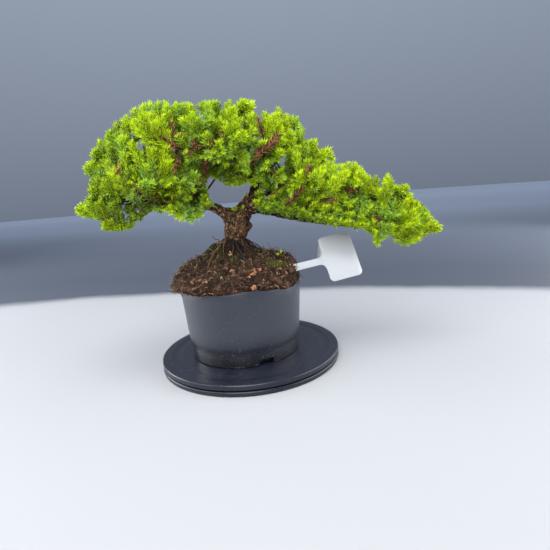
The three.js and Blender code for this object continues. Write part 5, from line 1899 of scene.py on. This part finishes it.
COVER_TIPS = [
    (24, -26, 200), (28, -26, 194), (36, -26, 191), (43, -30, 195), (52, -30, 190), (61, -30, 187),
    (54, -28, 198), (46, -26, 205), (39, -26, 201), (65, -34, 193), (74, -34, 186), (83, -34, 180),
    (94, -34, 177), (106, -34, 173), (118, -32, 170), (130, -32, 168), (143, -30, 164), (153, -30, 162),
    (75, -36, 201), (88, -36, 193), (102, -36, 188), (118, -34, 182), (132, -34, 177), (147, -32, 172),
    (160, -30, 165), (173, -28, 161), (186, -26, 158), (200, -24, 152), (214, -20, 149), (230, -14, 152),
    (-24, -40, 206), (-36, -44, 202), (-36, -36, 210), (-36, -32, 218), (28, -24, 209), (36, -24, 216),
]
WINDOW_TIPS = [
    (-40, -30, 238), (-36, -30, 231), (-40, -32, 225), (-25, -26, 234), (-19, -26, 229), (-12, -26, 224),
    (-5, -26, 223), (1, -26, 222), (8, -26, 223), (-21, -22, 240), (-12, -22, 235), (-4, -22, 231),
    (6, -22, 229), (14, -24, 224), (22, -24, 221), (17, -22, 231), (27, -22, 228),
]
HANGING_TIPS = [
    (-162, -20, 203), (-149, -25, 203), (-154, -24, 186), (-148, -24, 182), (-139, -24, 182), (-127, -24, 185),
    (-115, -26, 191), (-99, -30, 202), (-88, -40, 201), (-73, -56, 197), (-64, -58, 190), (-54, -60, 187),
    (-44, -58, 189), (-35, -54, 195), (161, -26, 156), (164, -22, 146), (169, -22, 142), (178, -22, 151),
    (186, -20, 151), (194, -20, 148), (193, -16, 139), (200, -16, 136), (208, -16, 139), (217, -14, 139),
    (224, -14, 139), (227, -12, 148), (237, -10, 151), (245, -10, 152), (254, -8, 149),
]
# Each list with the rise of its branchlets; the ones that fall have a rise below zero
TIP_GROUPS = [(SHOWN_TIPS, 0.5), (COVER_TIPS, 0.45), (WINDOW_TIPS, -0.15), (HANGING_TIPS, -0.25)]


def nearest_wood(point):
    """The nearest point of the fine limb lines, so that a stem starts inside the wood."""
    best, where = 1e9, None
    for _, line in WOOD_LINES:
        for a, b in zip(line[:-1, :3], line[1:, :3]):
            t = np.clip(np.dot(point - a, b - a) / np.dot(b - a, b - a), 0, 1)
            near = a + t * (b - a)
            distance = np.linalg.norm(point - near)
            if distance < best:
                best, where = distance, near
    return where


CROWN_SEED = 2024
# How far the source's end shoots and side shoots stop short of their tips
SPRAY_INSET = 8.0
SIDE_INSET = 4.0
TIP_GAP = 14.2
LOW_TIP_GAP = 17.0
INNER_TIP_GAP = 21.0
TIP_TRIALS = 16000
TIP_SPAN = (-188, 256)
TIP_TURN = (-80, 260)
INNER_SKIN = (0.5, 0.72)


def fill_tips(taken, rng):
    """Places on the crown's skin, and on a smaller skin in it, for the branchlets that fill it."""
    found = []
    for inner in (False, True):
        spots = [np.asarray(t, float) for t in taken]
        for _ in range(TIP_TRIALS // (3 if inner else 1)):
            x, angle = rng.uniform(*TIP_SPAN), math.radians(rng.uniform(*TIP_TURN))
            inset = rng.uniform(*INNER_SKIN) if inner else 1.0
            p = crown_point(x, angle, FOLIAGE_BOTTOM, inset)
            gap = INNER_TIP_GAP if inner else TIP_GAP if math.sin(angle) > -0.3 else LOW_TIP_GAP
            if np.min(np.linalg.norm(np.array(spots) - p, axis=1)) < gap:
                continue
            spots.append(p)
            if in_view_gap(p[None], 4.0)[0] or (p[1] < -30 and in_view_gap(p[None], 3.0, BROWN_STRIP)[0]):
                continue
            found.append((p, skin_normal(x, angle), angle, inner))
    return found


def tip_age(point, normal):
    """How fresh a tip is, partly painted light: tips that face up are made fresher and paler as if lit, and those at
    the right are the freshest.
    """
    # Painted light: the more a tip faces up, the paler and yellower its needles
    lit = 0.5 + 0.5 * normal[2]
    right = 0.08 * float(smoothstep(point[0], 10.0, 90.0))
    age = 0.75 + 0.08 * lit + right + 0.06 * math.sin(point[0] / 17.0)
    return float(np.clip(age + 0.05 * math.sin(point[1] / 11.0), 0.3, 1.0))


# Limbs, how far along them their own branchlets start, gap between these, their length and their rise
LIMB_PLUMES = [
    ("left_low", 0.2, 7.0, 16.0, 0.2),
    ("left", 0.42, 10.0, 19.0, 0.1),
    ("right", 0.17, 6.5, 21.0, 0.8),
    ("shoulder", 0.2, 8.0, 20.0, 0.3),
    ("right_low_front right_low_back tail_rise tail_front tail_back", 0.1, 10.0, 19.0, 0.5),
    ("left_front left_back", 0.2, 10.0, 20.0, 0.2),
    ("left_rise", 0.2, 12.0, 20.0, 0.4),
    ("dome_left", 0.1, 8.0, 19.0, 0.0),
    ("dome_front", 0.05, 8.0, 19.0, 0.0),
    ("dome_back", 0.2, 10.0, 20.0, 0.2),
    ("dome_top", 0.1, 10.0, 20.0, 0.1),
    ("right_top", 0.1, 8.0, 18.0, 0.1),
    ("right_back", 0.2, 10.0, 20.0, 0.3),
    ("right_front", 0.05, 8.0, 19.0, 0.0),
]
# How many of them are brown
BROWN_PLUMES = 0.16


def limb_plumes(sprays, tips, rng):
    """Short branchlets straight from the limbs, some of them brown."""
    lines = dict(WOOD_LINES)
    limbs = [(name, *settings) for names, *settings in LIMB_PLUMES for name in names.split()]
    for name, first, gap, length, rise in limbs:
        line = lines[name][:, :3]
        lengths = line_lengths(line)
        places = np.arange(first * lengths[-1], lengths[-1], gap)
        points = along_line(line, lengths, places)
        ahead = along_line(line, lengths, places + 0.5) - along_line(line, lengths, places - 0.5)
        for k, (at, tangent) in enumerate(zip(points, unit(ahead))):
            across = across_of(tangent)
            up = np.cross(tangent, across)
            turn = k * SHOOT_TURN + rng.uniform(-0.4, 0.4)
            leave = across * math.cos(turn) + up * math.sin(turn) + 0.7 * tangent
            if name.startswith(("right", "tail", "shoulder")):
                leave[2] = abs(leave[2])
            leave = unit(leave + np.array([0, 0, rise]))
            reach = length * rng.uniform(0.8, 1.2)
            tip = at + unit(leave + np.array([0, 0, 0.3])) * reach
            if in_view_gap(np.array([tip, mix(at, tip, 0.6)]), 2.0).any():
                continue
            store = sprays[nearest_index(tips, tip)].foliage
            curve = (at, at + leave * reach * 0.5, tip)
            if rng.uniform() < BROWN_PLUMES:
                line_out = bezier(*curve, 6)
                store.twig(line_out, 0.7, 0.35, 0.0, 5)
                dead_needles(store, line_out, 2.0, rng, 6.2, 2.2)
            else:
                age = 0.62 if name.startswith(("left_low", "right")) else 0.5
                plume(store, curve, 0.8 * reach, rng, age, 0.7, 7)


# Browned shoots that show from the front: points of each line
DEAD_SHOOTS = [
    [(16.4, -44, 240.8), (30.5, -50, 253.2), (40.6, -55, 261.4), (49.3, -60, 269.4)],
    [(30.5, -50, 253.2), (38, -57, 256), (47, -62, 263)],
    [(20, -44, 243), (27, -48, 254), (31, -52, 260)],
    [(58, -34, 195), (62.3, -42, 199.0), (67, -47, 205.4), (72.9, -51, 212.1)],
    [(36, -20, 202), (39.7, -26, 205.1), (49.4, -32, 213.6), (55.4, -36, 222.1)],
    [(44, -26, 208), (53, -33, 213), (60, -37, 217)],
    [(-34, -42, 234), (-31.6, -52, 240.6), (-28, -58, 250.4), (-23.8, -64, 265.7)],
    [(-48, -38, 216), (-45.2, -48, 221.5), (-38.7, -52, 228.5)],
]
# A bare twig that crosses the gap between the left limb and the crown
BARE_TWIG = [(-52, -12, 197), (-42, -14, 210), (-35, -13, 218), (-29.5, -11, 224), (-24, -9, 231), (-14, -7, 241)]
BARE_TWIG += [(-6, -4, 248)]


def nearest_index(spots, point):
    return int(np.linalg.norm(spots - point, axis=1).argmin())


def dead_shoots(sprays, tips, rng):
    """The browned shoots and the bare twig that show, each in the mesh of the nearest spray."""
    for points in DEAD_SHOOTS:
        points = np.array(points, float)
        line = smooth_line(np.vstack([nearest_wood(points[0]), points]), 4)
        store = sprays[nearest_index(tips, points[-1])].foliage
        store.twig(line, 1.1, 0.5, 0.0, 9)
        dead_needles(store, line, np.linalg.norm(line[0] - points[0]), rng, 6.0, 1.6, 46.0)
    for spot, across, tall in BROWN_PLACES:
        store = sprays[nearest_index(tips, spot)].foliage
        root = nearest_wood(spot)
        for _ in range(2):
            tip = spot + rng.normal(size=3) * [1.3 * across, 2.0, 1.0 * tall] + [0, 0, 2.0]
            line = bezier(root, mix(root, tip, 0.5) + [0, 0, 3.0], tip, 10)
            store.twig(line, 0.9, 0.4, 0.0, 6)
            dead_needles(store, line, max(1.0, line_lengths(line)[-1] - 15.0), rng, 5.4, 2.6, 50.0)
    line = smooth_line(BARE_TWIG, 4)
    sprays[nearest_index(tips, line[-1])].foliage.twig(line, 1.9, 1.1, 0.0, 12)


# Small shoots on the wood and a seedling on the soil: base, tip and needle length
SPROUTS = [
    ((-1.4, -8, 189.5), (-3.6, -9.5, 195.4), 3.6),
    ((-2.8, -8, 189.5), (-7.2, -9.5, 193.0), 3.4),
    ((3.6, -9, 190.0), (5.4, -11, 195.2), 3.8),
    ((13.5, -6, 206.0), (9.6, -8, 210.5), 3.4),
    ((46.0, -22, 135.5), (46.2, -24, 138.0), 3.6),
    ((44.0, -23, 134.5), (42.0, -26, 136.0), 2.8),
]
SPROUT_SEED = 5


def make_sprouts():
    """Fresh sprouts in the crotch and on the trunk, and a seedling on the root ball."""
    rng = np.random.default_rng(SPROUT_SEED)
    store = Foliage()
    for base, tip, size in SPROUTS:
        base, tip = np.array(base, float), np.array(tip, float)
        line = bezier(base, mix(base, tip, 0.5) + [0, -0.8, 0.6], tip, 6)
        store.twig(line, 0.6, 0.35, 0.7, 5)
        store.shoot(line, 1.2, rng, age=0.66, fade=0.02, size=size, spacing=1.1, open_angle=66.0)
    store.piece("fresh_sprouts", width=1.9, clear=False)


def check_against_frame(sprays):
    """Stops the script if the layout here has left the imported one."""
    for spray in sprays:
        low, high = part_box(spray.name)
        tip = spray.tip * MM
        if not all(low[k] - 0.002 < tip[k] < high[k] + 0.002 for k in range(3)):
            raise ValueError(f"{spray.name} is not where the frame has it")


def source_shoots(sprays, rng):
    """The source's own stem, end shoot and side shoots of every spray."""
    for spray in sprays:
        a, b, c = spray.stem
        ahead = unit(c - b)
        end = pulled_in(a, c - ahead * SPRAY_INSET, ahead)
        spray.foliage.twig(np.vstack([nearest_wood(a), bezier(a, b, end, 12)]), 1.25, 0.5, 0.12, 9)
        age = tip_age(spray.tip, unit(spray.tip - b))
        plume(spray.foliage, spray.stem, 34.0, rng, age, 0.9, 12, inset=SPRAY_INSET, browned=0.3)
        for side in spray.sides:
            plume(spray.foliage, side, 24.0, rng, age - 0.04, 0.7, inset=SIDE_INSET)


def carrier_points(sprays):
    """Points that a branchlet may grow from, on stems and limbs, with each one's spray, or -1 on a limb."""
    carriers, owners = [], []
    for n, spray in enumerate(sprays):
        line = bezier(*spray.stem, 22)[3:18]
        carriers.append(line)
        owners += [n] * len(line)
    for _, line in WOOD_LINES[1 : 1 + len(LIMBS)]:
        carriers.append(line[2:, :3])
        owners += [-1] * (len(line) - 2)
    return np.vstack(carriers), np.array(owners)


def branchlet_places(sprays, rng):
    """Tip, direction, angle about the crown, whether it is inside and whether it is a listed one."""
    taken = [s.tip for s in sprays] + [side[2] for s in sprays for side in s.sides]
    places = [(*place, False) for place in fill_tips(taken, rng)]
    for group, rise in TIP_GROUPS:
        for p in np.array(group, float):
            middle = np.array([p[0] * 0.96, 0.0, mix(*crown_at(p[0])[:2], 0.4)])
            normal = unit(unit(p - middle) + np.array([0, -0.35, rise]))
            places.append((p, normal, -0.5 if rise < 0 else 1.0, False, True))
    return places


# Costs of a carrier: on a limb, too little room ahead, a stem seen outside the crown, a hanging one from afar
LIMB_COST, ROOM_COST, SEEN_COST, AFAR_COST = 9.0, 2.5, 40.0, 1.5
ROOM_AHEAD = 14


def fill_crown(sprays, tips, rng):
    """Branchlets that fill the crown between the source's own, each on the stem or limb that suits it best."""
    carriers, owners = carrier_points(sprays)
    on_limb = np.where(owners < 0, LIMB_COST, 0.0)
    for point, normal, angle, inner, placed in branchlet_places(sprays, rng):
        nearest = np.linalg.norm(tips - point, axis=1)
        valley = 0.0 if placed else float(smoothstep(nearest.min(), 12.0, 30.0))
        low = math.sin(angle) < 0
        sunk = rng.uniform(9, 15) if rng.uniform() < 0.22 else rng.uniform(2.0, 6.5)
        tip = point - normal * (0.0 if placed else sunk + (4.0 if low else 7.0) * valley)
        finish = unit(0.45 * normal + np.array([0.0, 0.0, 0.05 if low else 0.6]))
        inside = tip - finish * (24.0 if placed else 30.0)
        cost = np.linalg.norm(carriers - inside, axis=1) + on_limb
        cost += ROOM_COST * np.maximum(0, ROOM_AHEAD - (tip - carriers) @ finish)
        for part in (0.35, 0.65):
            cost += SEEN_COST * ~seen_in(OUTLINE_WIDE, mix(tip, carriers, part))
        if placed and low:
            cost += AFAR_COST * np.maximum(0, np.abs(carriers[:, 0]) - abs(tip[0]))
        best = int(cost.argmin())
        root = carriers[best]
        owner = owners[best] if owners[best] >= 0 else int(nearest.argmin())
        reach = np.linalg.norm(tip - root)
        bend = mix(root + (tip - root) * 0.5, tip - finish * reach * 0.5, 0.75)
        # Tips in valleys, on the inner skin and sunk deep get darker needles: older, and painted shade deep in the
        # crown
        age = tip_age(tip, normal) - 0.10 * valley - (0.18 if inner else 0.0) - (0.1 if sunk > 9 else 0.0)
        age += rng.normal(0, 0.06)
        needled = min(0.85 * reach, rng.uniform(24, 34))
        face = unit(normal + np.array([0.0, -0.3, 0.0]))
        inset, browned = 0.0 if placed else 2.0, 0.5 if inner else 0.15
        curve = (root, bend, tip)
        plume(sprays[owner].foliage, curve, needled, rng, age, inset=inset, browned=browned, face=face)


def make_crown():
    layout = spray_layout()
    sprays = [Spray(n + 1, i, bent, layout) for n, (i, bent) in enumerate(SPRAY_STEMS)]
    check_against_frame(sprays)
    rng = np.random.default_rng(CROWN_SEED)
    tips = np.array([spray.tip for spray in sprays])
    source_shoots(sprays, rng)
    fill_crown(sprays, tips, rng)
    limb_plumes(sprays, tips, rng)
    dead_shoots(sprays, tips, rng)
    for spray in sprays:
        piece = spray.foliage.piece(spray.name.replace("spray", "needled_spray"))
        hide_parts(spray.name)


make_crown()
make_sprouts()
